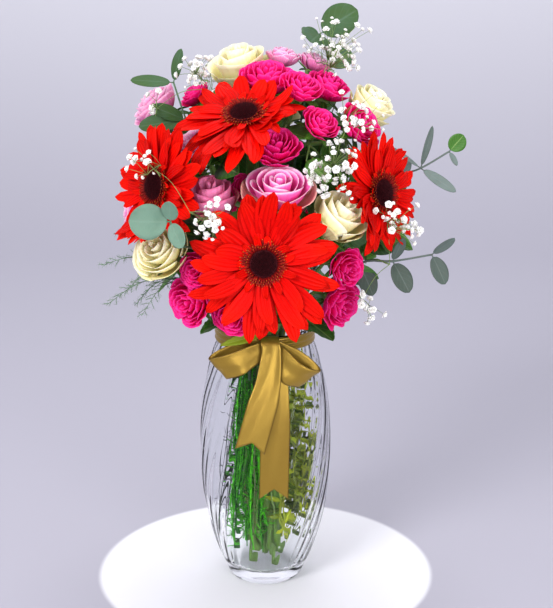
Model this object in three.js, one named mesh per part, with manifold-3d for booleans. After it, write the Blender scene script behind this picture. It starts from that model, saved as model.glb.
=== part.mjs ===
// A bouquet of gerberas and roses, with baby's breath, eucalyptus and fern, in a ribbed glass vase.
// Millimetres, +Z up. The origin is the middle of the vase's foot, on the surface that it stands on.
// A bearing of 0 is the front, towards -Y, and 90 is +X. A rise of 90 is straight up.

import * as THREE from 'three';
import { mergeVertices } from 'three/addons/utils/BufferGeometryUtils.js';
import Module from 'manifold-3d';

const wasm = await Module();
wasm.setup();

// Driving dimensions
const gap = 0.35;
const heart = new THREE.Vector3(0, 0, 335);
const seed = 41;
const seamTolerance = 0.1;

const ribCount = 16;
const ribDepth = 0.7;
const ribTwist = 70;
const glassHeight = 230;
const floorHeight = 10;
const glassOutside = [
  [31, 0], [34, 7], [43, 30], [52, 66], [56.3, 112], [53.6, 165], [45.5, 203], [40.5, 218],
];
const glassInside = [[34, 18], [48.5, 66], [53, 112], [50.2, 165], [37, 219]];
const rimRadius = 39.6;
const rimInside = 37;

const ribbonThickness = 0.9;
const bandHeight = 11;
const bandMiddle = 223.5;

// The stems are pressed together between these heights, and spread and turn towards their cut ends.
const waistLow = 196;
const waistTop = 228;
const stemSpread = 0.35;
const stemTwist = 35;
const roseStemRadius = 2.1;
const gerberaStemRadius = 3;
const twigRadius = 1.2;
const innerRing = 4.4;
const outerRing = 8.7;
const bunchRadius = 10.3;
const gerberaRing = 14.1;
const nearestSlot = 12;
const farthestSlot = 34;

const cupDepth = 6.5;
const outerPetals = 18;
const innerPetals = 11;
const petalWidth = 10.8;
const receptacleRadius = 12.5;
const floretRadius = 2.9;
const floretTwigRadius = 0.7;
const frondThickness = 0.9;

const paints = {
  glass: { color: 0xdfe6ea, roughness: 0.05, metalness: 0 },
  satin: { color: 0xc9a44a, roughness: 0.35, metalness: 0.1 },
  gerberaRed: { color: 0xe01404, roughness: 0.5, metalness: 0 },
  gerberaDisc: { color: 0x1c0a0c, roughness: 0.8, metalness: 0 },
  gerberaStem: { color: 0x6f9a3c, roughness: 0.6, metalness: 0 },
  roseStem: { color: 0x3d6a24, roughness: 0.6, metalness: 0 },
  hotPink: { color: 0xe8168a, roughness: 0.55, metalness: 0 },
  bicolour: { color: 0xee6bb2, roughness: 0.55, metalness: 0 },
  mauve: { color: 0xd06a8e, roughness: 0.55, metalness: 0 },
  palePink: { color: 0xef9cc4, roughness: 0.55, metalness: 0 },
  cream: { color: 0xf2ecc0, roughness: 0.55, metalness: 0 },
  breath: { color: 0xf6f4ee, roughness: 0.7, metalness: 0 },
  eucalyptus: { color: 0x6f9a86, roughness: 0.6, metalness: 0 },
  fern: { color: 0x2f8a24, roughness: 0.6, metalness: 0 },
  paleFern: { color: 0x7f9a78, roughness: 0.6, metalness: 0 },
  olive: { color: 0x7d8f2a, roughness: 0.6, metalness: 0 },
};

// Directions and places
function towards(bearing, rise) {
  const around = THREE.MathUtils.degToRad(bearing);
  const up = THREE.MathUtils.degToRad(rise);
  return new THREE.Vector3(Math.sin(around) * Math.cos(up), -Math.cos(around) * Math.cos(up), Math.sin(up));
}

function placeAt(bearing, rise, reach) {
  return towards(bearing, rise).multiplyScalar(reach).add(heart);
}

function point(x, y, z) {
  return new THREE.Vector3(x, y, z);
}

// A generator of repeatable draws between 0 and 1
function draws(start) {
  let state = start;
  return () => {
    state = (state * 1664525 + 1013904223) % 4294967296;
    return state / 4294967296;
  };
}

// The placing of something that was made facing +Z, so that it stands at a place and faces a direction
function standMatrix(at, facing) {
  const across = new THREE.Vector3(0, 0, 1).cross(facing).normalize();
  const upward = facing.clone().cross(across);
  return new THREE.Matrix4().makeBasis(across, upward, facing).setPosition(at);
}

function stand(geometry, at, facing, roll = 0) {
  geometry.rotateZ(THREE.MathUtils.degToRad(roll));
  geometry.applyMatrix4(standMatrix(at, facing));
  return geometry;
}

// Lays a geometry that was made along +X, with its upper face to +Z, from a place along a direction.
function lay(geometry, at, along, upper) {
  const length = along.clone().normalize();
  const side = upper.clone().cross(length).normalize();
  const face = length.clone().cross(side);
  geometry.applyMatrix4(new THREE.Matrix4().makeBasis(length, side, face));
  geometry.translate(at.x, at.y, at.z);
  return geometry;
}

// A closed solid of a geometry, with its faces turned outwards
function solidOf(geometry) {
  const bare = new THREE.BufferGeometry();
  bare.setAttribute('position', geometry.getAttribute('position').clone());
  bare.setIndex(geometry.index);
  const merged = mergeVertices(bare, 1e-4);
  const places = merged.getAttribute('position').array;
  const index = merged.index.array;
  const corner = (i) => point(places[3 * i], places[3 * i + 1], places[3 * i + 2]);
  const kept = [];
  let volume = 0;
  for (let i = 0; i < index.length; i += 3) {
    const [a, b, c] = [index[i], index[i + 1], index[i + 2]];
    if (a !== b && b !== c && c !== a) {
      kept.push([a, b, c]);
      volume += corner(a).dot(corner(b).cross(corner(c)));
    }
  }
  const facesOut = volume > 0;
  const triVerts = new Uint32Array(kept.flatMap(([a, b, c]) => (facesOut ? [a, b, c] : [a, c, b])));
  const vertProperties = new Float32Array(places);
  return new wasm.Manifold(new wasm.Mesh({ numProp: 3, vertProperties, triVerts }));
}

function geometryOf(solid) {
  const mesh = solid.getMesh();
  const geometry = new THREE.BufferGeometry();
  geometry.setAttribute('position', new THREE.BufferAttribute(mesh.vertProperties, 3));
  geometry.setIndex(new THREE.BufferAttribute(mesh.triVerts, 1));
  return geometry;
}

// Joins geometries into one body. A scrap that touches nothing is dropped, and slivers along the seams go.
function fuse(geometries) {
  const joined = geometries.map(solidOf).reduce((whole, piece) => whole.add(piece));
  const bodies = joined.decompose();
  const largest = bodies.reduce((best, body) => (body.volume() > best.volume() ? body : best));
  return geometryOf(largest.asOriginal().simplify(seamTolerance));
}

// A blade, three-sided in section: a flat upper face between two edges, and a keel below it.
// Each station is [along, height, half width, thickness], and the last one is the tip.
function blade(stations) {
  const steps = stations.length - 1;
  const geometry = new THREE.ConeGeometry(1, 1, 3, steps);
  const position = geometry.getAttribute('position');
  for (let i = 0; i < position.count; i += 1) {
    const share = position.getY(i) + 0.5;
    const [along, height, halfWidth, thickness] = stations[Math.round(share * steps)];
    const onRing = Math.hypot(position.getX(i), position.getZ(i)) > 1e-6;
    const around = Math.atan2(position.getX(i), position.getZ(i));
    const side = onRing ? Math.sin(around) / Math.sin(Math.PI / 3) : 0;
    const isKeel = onRing && Math.abs(side) < 0.5;
    const depth = isKeel ? thickness : 0;
    const sink = onRing ? depth : thickness / 3;
    position.setXYZ(i, along, side * halfWidth, height - sink);
  }
  return geometry;
}

// A rod with a cross-section at each of the points that it runs through
function rod(points, radii, sides) {
  const steps = points.length - 1;
  const geometry = new THREE.CylinderGeometry(1, 1, 1, sides, steps);
  const tangents = points.map((here, i) => {
    const next = points[Math.min(i + 1, steps)];
    const last = points[Math.max(i - 1, 0)];
    return next.clone().sub(last).normalize();
  });
  const steady = Math.abs(tangents[0].z) > 0.9 ? point(1, 0, 0) : point(0, 0, 1);
  const sideways = [];
  let across = steady;
  for (const tangent of tangents) {
    across = across.clone().addScaledVector(tangent, -across.dot(tangent)).normalize();
    sideways.push(across);
  }
  const position = geometry.getAttribute('position');
  for (let i = 0; i < position.count; i += 1) {
    const station = Math.round((position.getY(i) + 0.5) * steps);
    const radius = radii[Math.min(station, radii.length - 1)];
    const over = tangents[station].clone().cross(sideways[station]);
    const here = points[station].clone();
    here.addScaledVector(sideways[station], position.getX(i) * radius);
    here.addScaledVector(over, position.getZ(i) * radius);
    position.setXYZ(i, here.x, here.y, here.z);
  }
  return geometry;
}

// A surface of revolution about +Z with lobed rings. Each ring is [radius, height, lobe, turn], where lobe is
// the share that the radius swings by, and turn shifts the lobes round by halves.
function lobed(rings, sectors, lobes, size = 1) {
  const outline = rings.map(([radius, height]) => new THREE.Vector2(radius, height));
  const geometry = new THREE.LatheGeometry(outline, sectors);
  const position = geometry.getAttribute('position');
  for (let i = 0; i < position.count; i += 1) {
    const [radius, height, lobe, turn] = rings[i % rings.length];
    const sector = Math.floor(i / rings.length) % sectors;
    const around = (2 * Math.PI * sector) / sectors;
    const swing = lobe * Math.cos(lobes * around + Math.PI * turn);
    const reach = radius * (1 + swing) * size;
    const lift = (height + swing * 0.5) * size;
    position.setXYZ(i, reach * Math.sin(around), -reach * Math.cos(around), lift);
  }
  return geometry;
}

// Turns to the side and up, from the least to the most, that a leaf or a twig may take to keep clear
const turns = [
  [0, 0], [4, 0], [-4, 0], [0, 4], [0, -4], [8, 0], [-8, 0], [0, 8], [0, -8],
  [8, 8], [-8, 8], [8, -8], [-8, -8], [14, 0], [-14, 0], [0, 14], [0, -14], [20, 0], [-20, 0],
  [0, 20], [0, -20], [18, 18], [-18, 18], [26, 0], [-26, 0],
];

// What is already placed, as balls, so that what grows later keeps clear of it
const taken = [];

function take(at, reach, kind = 'green') {
  taken.push({ at, reach, kind });
}

function isClear(points, margin, kind) {
  const balls = kind ? taken.filter((ball) => ball.kind === kind) : taken;
  return points.every((here) => balls.every((ball) => {
    const least = ball.reach + margin;
    return ball.at.distanceToSquared(here) > least * least;
  }));
}

// Points at most a step apart along the straight stretches between some points
function stepped(points, step) {
  const walked = [points[0].clone()];
  for (let i = 1; i < points.length; i += 1) {
    const count = Math.ceil(points[i].distanceTo(points[i - 1]) / step);
    for (let k = 1; k <= count; k += 1) {
      walked.push(points[i - 1].clone().lerp(points[i], k / count));
    }
  }
  return walked;
}

function takeAlong(points, radius) {
  stepped(points, 2.5).forEach((here) => take(here, radius));
}

// Where a stem passes a height below the neck: bunched at the waist, spread and turned towards its cut end
function slotAt(radius, bearing, height) {
  const below = Math.max(0, (waistLow - height) / waistLow);
  const spread = radius * (1 + stemSpread * below);
  const turned = THREE.MathUtils.degToRad(bearing + stemTwist * below);
  return point(Math.sin(turned) * spread, -Math.cos(turned) * spread, height);
}

// Halfway between two places, bowed in towards the bunch's axis
function bowed(low, high) {
  return low.clone().lerp(high, 0.5).multiply(point(0.85, 0.85, 1));
}

// A stem's route from its cut end, up through the neck and out to a bloom
function stemRoute(radius, bearing, tipHeight, end, facing) {
  const top = slotAt(radius, bearing, waistTop);
  const approach = end.clone().addScaledVector(facing, -16);
  const waist = slotAt(radius, bearing, waistLow);
  return [slotAt(radius, bearing, tipHeight), waist, top, bowed(top, approach), approach, end];
}

// A twig's route through one slot of the neck
function twigThrough(slot, bearing, low, outer) {
  const top = slotAt(slot, bearing, waistTop);
  const middle = bowed(top, outer[0]);
  return [slotAt(slot, bearing, low), slotAt(slot, bearing, waistLow), top, middle, ...outer];
}

// A twig's way up through the neck and out between the blooms, from the nearest slot where it touches nothing
function twigRoute(bearing, low, places, radius) {
  const margin = 0.7 * radius + gap;
  const shifts = [0, 6, -6, 12, -12, 18, -18, 25, -25, 32, -32, 40, -40, 50, -50];
  for (const [aside, up] of turns) {
    const [first, ...others] = places;
    const outer = [[first[0] + aside, first[1] + up, first[2]], ...others].map((place) => placeAt(...place));
    for (const shift of isClear(stepped(outer, 2), margin) ? shifts : []) {
      for (let slot = nearestSlot; slot < farthestSlot; slot += 0.3) {
        const route = twigThrough(slot, bearing + shift, low, outer);
        if (isClear(stepped(route, 2.5), margin)) {
          takeAlong(route, radius);
          return route;
        }
      }
    }
  }
  return twigThrough(farthestSlot, bearing, low, places.map((place) => placeAt(...place)));
}

// The vase: a barrel of clear glass with twisted ribs outside, a smooth inside and a thick foot
function makeVase() {
  const outside = glassOutside.map(([radius, height]) => new THREE.Vector2(radius, height));
  const lip = [
    new THREE.Vector2(rimRadius, glassHeight - 2),
    new THREE.Vector2(rimRadius - 1.2, glassHeight),
    new THREE.Vector2(rimInside + 0.2, glassHeight - 1.2),
  ];
  const inside = glassInside.map(([radius, height]) => new THREE.Vector2(radius, height)).reverse();
  const foot = new THREE.Vector2(0, 0);
  const floor = [new THREE.Vector2(24, floorHeight), new THREE.Vector2(0, floorHeight)];
  const outline = [foot, ...outside, ...lip, ...inside, ...floor];
  const geometry = new THREE.LatheGeometry(outline, 2 * ribCount);
  const position = geometry.getAttribute('position');
  for (let i = 0; i < position.count; i += 1) {
    const ring = i % outline.length;
    const sector = Math.floor(i / outline.length) % (2 * ribCount);
    const { x: radius, y: height } = outline[ring];
    const isRibbed = ring > 2 && ring < outside.length - 1;
    const swell = isRibbed ? ribDepth * (sector % 2 === 0 ? 1 : -1) : 0;
    const twist = THREE.MathUtils.degToRad((ribTwist * height) / glassHeight);
    const around = (Math.PI * sector) / ribCount + twist;
    position.setXYZ(i, (radius + swell) * Math.sin(around), -(radius + swell) * Math.cos(around), height);
  }
  return fuse([geometry]);
}

// A strip of ribbon through stations of [middle, across], where across runs from edge to edge
function strip(stations) {
  const steps = stations.length - 1;
  const geometry = new THREE.BoxGeometry(1, 1, 1, steps, 1, 1);
  const position = geometry.getAttribute('position');
  for (let i = 0; i < position.count; i += 1) {
    const station = Math.round((position.getX(i) + 0.5) * steps);
    const [middle, across] = stations[station];
    const next = stations[Math.min(station + 1, steps)][0];
    const last = stations[Math.max(station - 1, 0)][0];
    const normal = next.clone().sub(last).cross(across).normalize();
    const here = middle.clone();
    here.addScaledVector(across, position.getY(i));
    here.addScaledVector(normal, position.getZ(i) * ribbonThickness);
    position.setXYZ(i, here.x, here.y, here.z);
  }
  return geometry;
}

// The wedge that leaves a swallowtail at a ribbon's end
function notch(at, lean) {
  const corners = [[-9, -4], [9, -4], [0, 11]];
  const outline = new THREE.Shape(corners.map(([x, z]) => new THREE.Vector2(x, z)));
  const geometry = new THREE.ExtrudeGeometry(outline, { depth: 3.5, bevelEnabled: false });
  geometry.rotateZ(THREE.MathUtils.degToRad(lean));
  geometry.rotateX(Math.PI / 2);
  geometry.translate(at.x, at.y + 1.75, at.z);
  return geometry;
}

// The ribbon: a gathered band under the rim, a knot, two loops and two notched tails
function makeRibbon() {
  const inner = rimRadius + 1.5;
  const outer = inner + ribbonThickness;
  const low = bandMiddle - bandHeight / 2;
  const high = bandMiddle + bandHeight / 2;
  const corners = [[inner, low], [outer, low], [outer, high], [inner, high], [inner, low]];
  const section = corners.map(([radius, height]) => new THREE.Vector2(radius, height));
  const band = new THREE.LatheGeometry(section, 24);
  band.rotateX(Math.PI / 2);
  const knot = new THREE.SphereGeometry(1, 7, 5);
  knot.scale(9.5, 6, 9);
  knot.translate(4, -46.5, 224);
  const leftLoop = strip([
    [point(1, -48, 223), point(4, 0, -13)],
    [point(-20, -58, 214), point(2, 0, -20)],
    [point(-36, -55, 208), point(15, 0, -17)],
    [point(-39, -51.5, 207), point(15, 0, -17)],
    [point(-35, -48, 211), point(13, 0, -17)],
    [point(-18, -46, 220), point(4, 0, -17)],
    [point(1, -45, 225), point(4, 0, -12)],
  ]);
  const rightLoop = strip([
    [point(7, -48, 223), point(-5, 0, -13)],
    [point(23, -59, 205), point(-14, 0, -15)],
    [point(35, -55, 199), point(-18, 0, -15)],
    [point(37.5, -51.5, 198.5), point(-18, 0, -15)],
    [point(34, -48.5, 203), point(-16, 0, -15)],
    [point(24, -47, 213), point(-10, 0, -15)],
    [point(7, -45.5, 224), point(-5, 0, -12)],
  ]);
  const frontTail = strip([
    [point(5, -49, 224), point(16, 0, 0)],
    [point(6, -55, 217), point(21, 0, -2)],
    [point(2.5, -61, 195), point(24.5, 0, -5)],
    [point(-4.5, -63.5, 168), point(24.5, 0, -5.5)],
    [point(-12.5, -64, 140), point(24.5, 0, -5.5)],
  ]);
  const backTail = strip([
    [point(5, -47.5, 222), point(16, 0, 0)],
    [point(8, -54.5, 205), point(22, 0, 0)],
    [point(9, -59.5, 175), point(24.5, 0, -1)],
    [point(8.5, -60.5, 140), point(24.5, 0, 0)],
    [point(7.5, -60.5, 97), point(24.5, 0, 0)],
  ]);
  const whole = [band, knot, leftLoop, rightLoop, frontTail, backTail].map(solidOf);
  const joined = whole.reduce((sum, piece) => sum.add(piece));
  const notches = [notch(point(-12.5, -64, 140), -10), notch(point(7.5, -60.5, 97), 0)].map(solidOf);
  const cut = notches.reduce((sum, piece) => sum.subtract(piece), joined);
  return geometryOf(cut.asOriginal().simplify(seamTolerance));
}

// The rings of a full rose, of an open rose with turned-back rims, and of a tall bud, as shares of the radius
const fullRose = [
  [0, -0.6, 0, 0], [0.9, -0.16, 0.06, 0], [1.0, 0.16, 0.1, 0], [0.7, 0.06, 0.04, 0],
  [0.72, 0.42, 0.1, 1], [0.42, 0.24, 0.04, 1], [0.4, 0.56, 0.12, 0], [0, 0.4, 0, 0],
];
const openRose = [
  [0, -0.7, 0, 0], [0.82, -0.3, 0.04, 0], [1.0, 0.12, 0.09, 0], [0.74, 0.06, 0.03, 0],
  [0.76, 0.44, 0.09, 1], [0.44, 0.26, 0.03, 1], [0.4, 0.58, 0.12, 0], [0, 0.46, 0, 0],
];
const tallRose = [
  [0, -1.0, 0, 0], [0.86, -0.55, 0.04, 0], [0.98, 0.1, 0.07, 0], [0.84, 0.12, 0.03, 0],
  [0.76, 0.66, 0.1, 1], [0.5, 0.5, 0.03, 1], [0.44, 0.84, 0.12, 0], [0, 0.6, 0, 0],
];

// Each kind's rings, its outer guard petals, and the share of the radius that later growth keeps clear of
const roseKinds = {
  full: { clear: 1, rings: fullRose, guards: 0 },
  open: { clear: 1.02, rings: openRose, guards: 0 },
  guarded: { clear: 1.16, rings: openRose, guards: 3 },
  tall: { clear: 1.05, rings: tallRose, guards: 0 },
  tallOpen: { clear: 1.16, rings: tallRose, guards: 3 },
};

// Each rose: its place round the heart, its radius, the way that it faces, its kind and its paint
const roseTable = {
  rose_bicolour: { place: [7, 19, 102], radius: 19.5, faces: [5, 46], kind: 'guarded', paint: 'bicolour' },
  rose_hot_upper: { place: [7, 41, 94], radius: 17.5, faces: [7, 60], kind: 'full', paint: 'hotPink' },
  rose_cream_top: { place: [-128, 77, 115], radius: 18.5, faces: [-50, 75], kind: 'guarded', paint: 'cream' },
  rose_cream_right_top: {
    place: [94, 43, 120], radius: 15, faces: [72, 48], kind: 'guarded', paint: 'cream',
  },
  rose_cream_middle: { place: [34, 5, 106], radius: 17, faces: [60, 52], kind: 'tallOpen', paint: 'cream' },
  rose_cream_left: { place: [-46, -9, 117], radius: 17, faces: [-66, 8], kind: 'guarded', paint: 'cream' },
  rose_mauve: { place: [-26, 14, 96], radius: 16, faces: [-20, 68], kind: 'tall', paint: 'mauve' },
  rose_dark_pink: { place: [-11, 22, 82], radius: 11, faces: [-8, 40], kind: 'full', paint: 'hotPink' },
  rose_pale_left: { place: [-94, 42, 122], radius: 18, faces: [-90, 45], kind: 'open', paint: 'palePink' },
  rose_pink_left: { place: [-50, 38, 96], radius: 12, faces: [-50, 45], kind: 'full', paint: 'palePink' },
  spray_top_1: { place: [4, 80, 110], radius: 18.5, faces: [4, 72], kind: 'full', paint: 'hotPink' },
  spray_top_2: { place: [38, 65, 114], radius: 14.5, faces: [35, 60], kind: 'full', paint: 'hotPink' },
  spray_top_3: { place: [84, 62, 112], radius: 16, faces: [60, 62], kind: 'full', paint: 'hotPink' },
  spray_top_4: { place: [38, 47, 106], radius: 13, faces: [38, 48], kind: 'full', paint: 'hotPink' },
  spray_top_5: { place: [60, 40, 116], radius: 16, faces: [54, 36], kind: 'full', paint: 'hotPink' },
  spray_left_1: { place: [-30, -17, 110], radius: 13.5, faces: [-32, 4], kind: 'full', paint: 'hotPink' },
  spray_left_2: { place: [-38, -33, 116], radius: 17, faces: [-38, -6], kind: 'full', paint: 'hotPink' },
  spray_left_3: { place: [-20, -46, 106], radius: 15.5, faces: [-18, -8], kind: 'full', paint: 'hotPink' },
  spray_right_1: { place: [40, -19, 108], radius: 14, faces: [40, 0], kind: 'full', paint: 'hotPink' },
  spray_right_2: { place: [51, -42, 108], radius: 17, faces: [46, -8], kind: 'full', paint: 'hotPink' },
  spray_back_1: { place: [144, 78, 122], radius: 12.5, faces: [120, 80], kind: 'full', paint: 'palePink' },
  spray_back_2: { place: [118, 68, 124], radius: 11.5, faces: [110, 66], kind: 'full', paint: 'palePink' },
  spray_back_3: { place: [-88, 58, 108], radius: 11, faces: [-84, 50], kind: 'full', paint: 'hotPink' },
  rose_cream_back: { place: [175, 36, 110], radius: 21, faces: [175, 40], kind: 'open', paint: 'cream' },
  rose_pink_back: { place: [-136, 20, 108], radius: 21, faces: [-136, 26], kind: 'open', paint: 'bicolour' },
  rose_cream_low_back: { place: [122, 2, 108], radius: 20, faces: [122, 14], kind: 'open', paint: 'cream' },
  rose_side_left: { place: [-98, -4, 108], radius: 20, faces: [-98, 10], kind: 'open', paint: 'bicolour' },
  spray_low_back_1: { place: [158, -22, 108], radius: 16, faces: [156, -2], kind: 'full', paint: 'hotPink' },
  spray_low_back_2: { place: [-166, -10, 110], radius: 15, faces: [-164, 4], kind: 'full', paint: 'hotPink' },
};
const roses = Object.entries(roseTable).map(([name, rose]) => ({ name, ...rose }));

// How far below its middle a rose's underside lies
function undersideOf(rose) {
  return -roseKinds[rose.kind].rings[0][1] * rose.radius;
}

// A rose: whorls of lobed rims round a pointed heart, with broad guard petals turned out below them on some
function makeRose(rose) {
  const { rings, guards } = roseKinds[rose.kind];
  const pieces = [lobed(rings, 10, 5, rose.radius)];
  const under = -undersideOf(rose);
  for (let i = 0; i < guards; i += 1) {
    const guard = blade([
      [0.3 * rose.radius, under * 0.7, 0.25 * rose.radius, 2.2],
      [1.08 * rose.radius, 0.05 * rose.radius, 0.52 * rose.radius, 1.8],
      [1.26 * rose.radius, 0.12 * rose.radius, 0, 0],
    ]);
    guard.rotateZ((2 * Math.PI * (i + 0.3)) / guards);
    pieces.push(guard);
  }
  const roll = 7 * rose.radius;
  return stand(fuse(pieces), placeAt(...rose.place), towards(...rose.faces), roll);
}

// The stems that bear the roses: the slot in the bunch, the cut end's height, the fork and the blooms
const roseStems = [
  { slot: [0, 0], tip: 16, bears: ['rose_bicolour'] },
  {
    slot: [innerRing, 60], tip: 18, fork: [30, 62, 62],
    bears: ['spray_top_1', 'spray_top_2', 'spray_top_3', 'spray_top_4', 'spray_top_5'],
  },
  {
    slot: [innerRing, 120], tip: 20, fork: [150, 70, 60],
    bears: ['spray_back_1', 'spray_back_2', 'spray_back_3'],
  },
  { slot: [innerRing, 180], tip: 15, bears: ['rose_cream_top'] },
  { slot: [innerRing, 240], tip: 24, bears: ['rose_pale_left'] },
  { slot: [innerRing, 300], tip: 21, bears: ['rose_mauve'] },
  {
    slot: [outerRing, -50], tip: 30, fork: [-34, -71, 92],
    bears: ['spray_left_1', 'spray_left_2', 'spray_left_3'],
  },
  { slot: [outerRing, -20], tip: 26, bears: ['rose_pink_left'] },
  {
    slot: [outerRing, 10], tip: floorHeight + gap, fork: [5, 20, 60],
    bears: ['rose_hot_upper', 'rose_dark_pink'],
  },
  { slot: [outerRing, 40], tip: 20, bears: ['rose_cream_middle'] },
  { slot: [outerRing, 70], tip: 33, fork: [48, -71, 92], bears: ['spray_right_1', 'spray_right_2'] },
  { slot: [outerRing, 100], tip: 18, bears: ['rose_cream_right_top'] },
  { slot: [outerRing, 130], tip: floorHeight + gap, bears: ['rose_cream_low_back'] },
  {
    slot: [outerRing, 160], tip: 25, fork: [172, -66, 86],
    bears: ['spray_low_back_1', 'spray_low_back_2'],
  },
  { slot: [outerRing, 190], tip: 17, bears: ['rose_cream_back'] },
  { slot: [outerRing, 220], tip: 28, bears: ['rose_pink_back'] },
  { slot: [outerRing, 250], tip: floorHeight + gap, bears: ['rose_side_left'] },
  { slot: [outerRing, 280], tip: 23, bears: ['rose_cream_left'] },
];

// The green cup under a rose, with five sepals
function makeCup(rose) {
  const wide = 0.62 * rose.radius;
  const rings = [[0, 0, 0, 0], [wide, 0, 0, 0], [0, -1.6 * cupDepth, 0, 0]];
  const facing = towards(...rose.faces);
  const at = placeAt(...rose.place).addScaledVector(facing, -undersideOf(rose) - gap);
  return stand(lobed(rings, 5, 5), at, facing);
}

// Where the stem ends inside the cup
function cupFoot(rose) {
  const facing = towards(...rose.faces);
  return placeAt(...rose.place).addScaledVector(facing, -undersideOf(rose) - gap - 0.6 * cupDepth);
}

// A rose leaf: broad, pointed and folded a little along its rib
function leafStations(length, width) {
  return [
    [0, 0, 0.7, 1.2], [0.32 * length, 0.07 * length, 0.44 * width, 1.1],
    [0.7 * length, 0.05 * length, 0.44 * width, 1], [length, -0.06 * length, 0, 0],
  ];
}

// Leaves: the bloom whose stem bears it, the share of the way up, the direction, the length and the width
const roseLeaves = [
  { on: 'spray_right_2', share: 0.02, bearing: 44, rise: -14, length: 58, width: 24 },
  { on: 'spray_left_3', share: 0.02, bearing: -66, rise: -14, length: 52, width: 22 },
  { on: 'rose_cream_low_back', share: 0.62, bearing: 100, rise: -30, length: 60, width: 26 },
  { on: 'rose_cream_low_back', share: 0.7, bearing: 150, rise: 18, length: 60, width: 26 },
  { on: 'spray_low_back_1', share: 0.5, bearing: 130, rise: -34, length: 58, width: 25 },
  { on: 'spray_low_back_2', share: 0.5, bearing: -140, rise: -32, length: 58, width: 25 },
  { on: 'rose_side_left', share: 0.62, bearing: -84, rise: -38, length: 56, width: 24 },
  { on: 'rose_pink_back', share: 0.72, bearing: -112, rise: 28, length: 56, width: 25 },
  { on: 'rose_pink_back', share: 0.72, bearing: -166, rise: 22, length: 56, width: 25 },
  { on: 'rose_cream_back', share: 0.55, bearing: 165, rise: 34, length: 58, width: 26 },
  { on: 'rose_cream_back', share: 0.55, bearing: -158, rise: 28, length: 58, width: 26 },
  { on: 'rose_cream_right_top', share: 0.7, bearing: 118, rise: 30, length: 56, width: 24 },
];

// A stem's upper length, from the bunch to the cup or the fork
function stemAbove(slot, tip, fork, first) {
  const end = fork ? placeAt(...fork) : cupFoot(first);
  const outward = fork ? towards(fork[0], Math.max(fork[1], 20)) : towards(...first.faces);
  const route = stemRoute(slot[0], slot[1], tip, end, outward);
  takeAlong(route, roseStemRadius);
  const sunk = slotAt(slot[0], slot[1], waistTop - 6);
  return { route: [sunk, ...route.slice(2)], outward };
}

// The leaf's direction, turned until the leaf is clear of the blooms
function leafWay({ bearing, rise, length, width }, at) {
  const middles = (way) => [0.4, 0.6, 0.8, 1].map((part) => (
    at.clone().addScaledVector(towards(...way), part * length)
  ));
  const ways = [1, 2].flatMap((wide) => (
    turns.map(([aside, up]) => [bearing + wide * aside, rise + wide * up])
  ));
  const way = ways.find((here) => isClear(middles(here), 0.42 * width, 'bloom'));
  if (way) {
    middles(way).slice(0, 3).forEach((here) => take(here, 0.38 * width));
  }
  return way;
}

// All the rose stems: one body, pressed together in the neck, with their cups and leaves
function makeRoseStems() {
  const low = waistLow + 4;
  const high = waistTop - 4;
  const section = [
    [0, low, 0, 0], [bunchRadius, low, 0.06, 0], [bunchRadius, high, 0.06, 0], [0, high, 0, 0],
  ];
  const bunch = lobed(section, 24, 12);
  bunch.rotateZ(THREE.MathUtils.degToRad(10));
  const pieces = [bunch];
  const routes = {};
  for (const { slot, tip, fork, bears } of roseStems) {
    const borne = bears.map((name) => roses.find((rose) => rose.name === name));
    const { route, outward } = stemAbove(slot, tip, fork, borne[0]);
    pieces.push(rod([slotAt(...slot, tip), slotAt(...slot, low + 2)], [roseStemRadius], 4));
    pieces.push(rod(route, [2.3, 2.3, 2.3, 2.1], 3));
    for (const rose of borne) {
      const foot = cupFoot(rose);
      routes[rose.name] = route;
      if (fork) {
        const near = foot.clone().addScaledVector(towards(...rose.faces), -12);
        const branch = [route.at(-1).clone().addScaledVector(outward, -2), near, foot];
        pieces.push(rod(branch, [1.8], 3));
        takeAlong(branch, 1.7);
        routes[rose.name] = branch;
      }
      pieces.push(makeCup(rose));
      take(foot, 0.3 * rose.radius);
    }
  }
  for (const leaf of roseLeaves) {
    const at = new THREE.CatmullRomCurve3(routes[leaf.on]).getPoint(leaf.share);
    const way = leafWay(leaf, at);
    if (way) {
      const plate = blade(leafStations(leaf.length, leaf.width));
      pieces.push(lay(plate, at, towards(...way), towards(way[0], way[1] + 70)));
    }
  }
  return fuse(pieces);
}

// Each gerbera: its place round the heart, the way that it faces, its radius, its stem's slot and cut end
const gerberas = [
  { name: 'gerbera_front', place: [0, -9, 124], faces: [0, 14], radius: 56, slot: 10, tip: 30 },
  { name: 'gerbera_right', place: [51.6, 12, 120], faces: [50, 12], radius: 51, slot: 100, tip: 27 },
  { name: 'gerbera_left', place: [-46.5, 15.4, 120], faces: [-50, 10], radius: 53, slot: -85, tip: 34 },
  { name: 'gerbera_top', place: [-13.5, 52.4, 108], faces: [-15, 62], radius: 53, slot: -17, tip: 29 },
];

// One ray petal, from the receptacle out to its point, bent forward by a lift at its tip
function petalStations(length, root, rise, lift) {
  const bend = (share) => root + rise * share + lift * share * share;
  return [
    [9, root, 1.5, 1.8], [0.44 * length, bend(0.35), 0.42 * petalWidth, 1.3],
    [0.8 * length, bend(0.75), 0.5 * petalWidth, 1.1], [length, bend(1), 0, 0],
  ];
}

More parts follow.
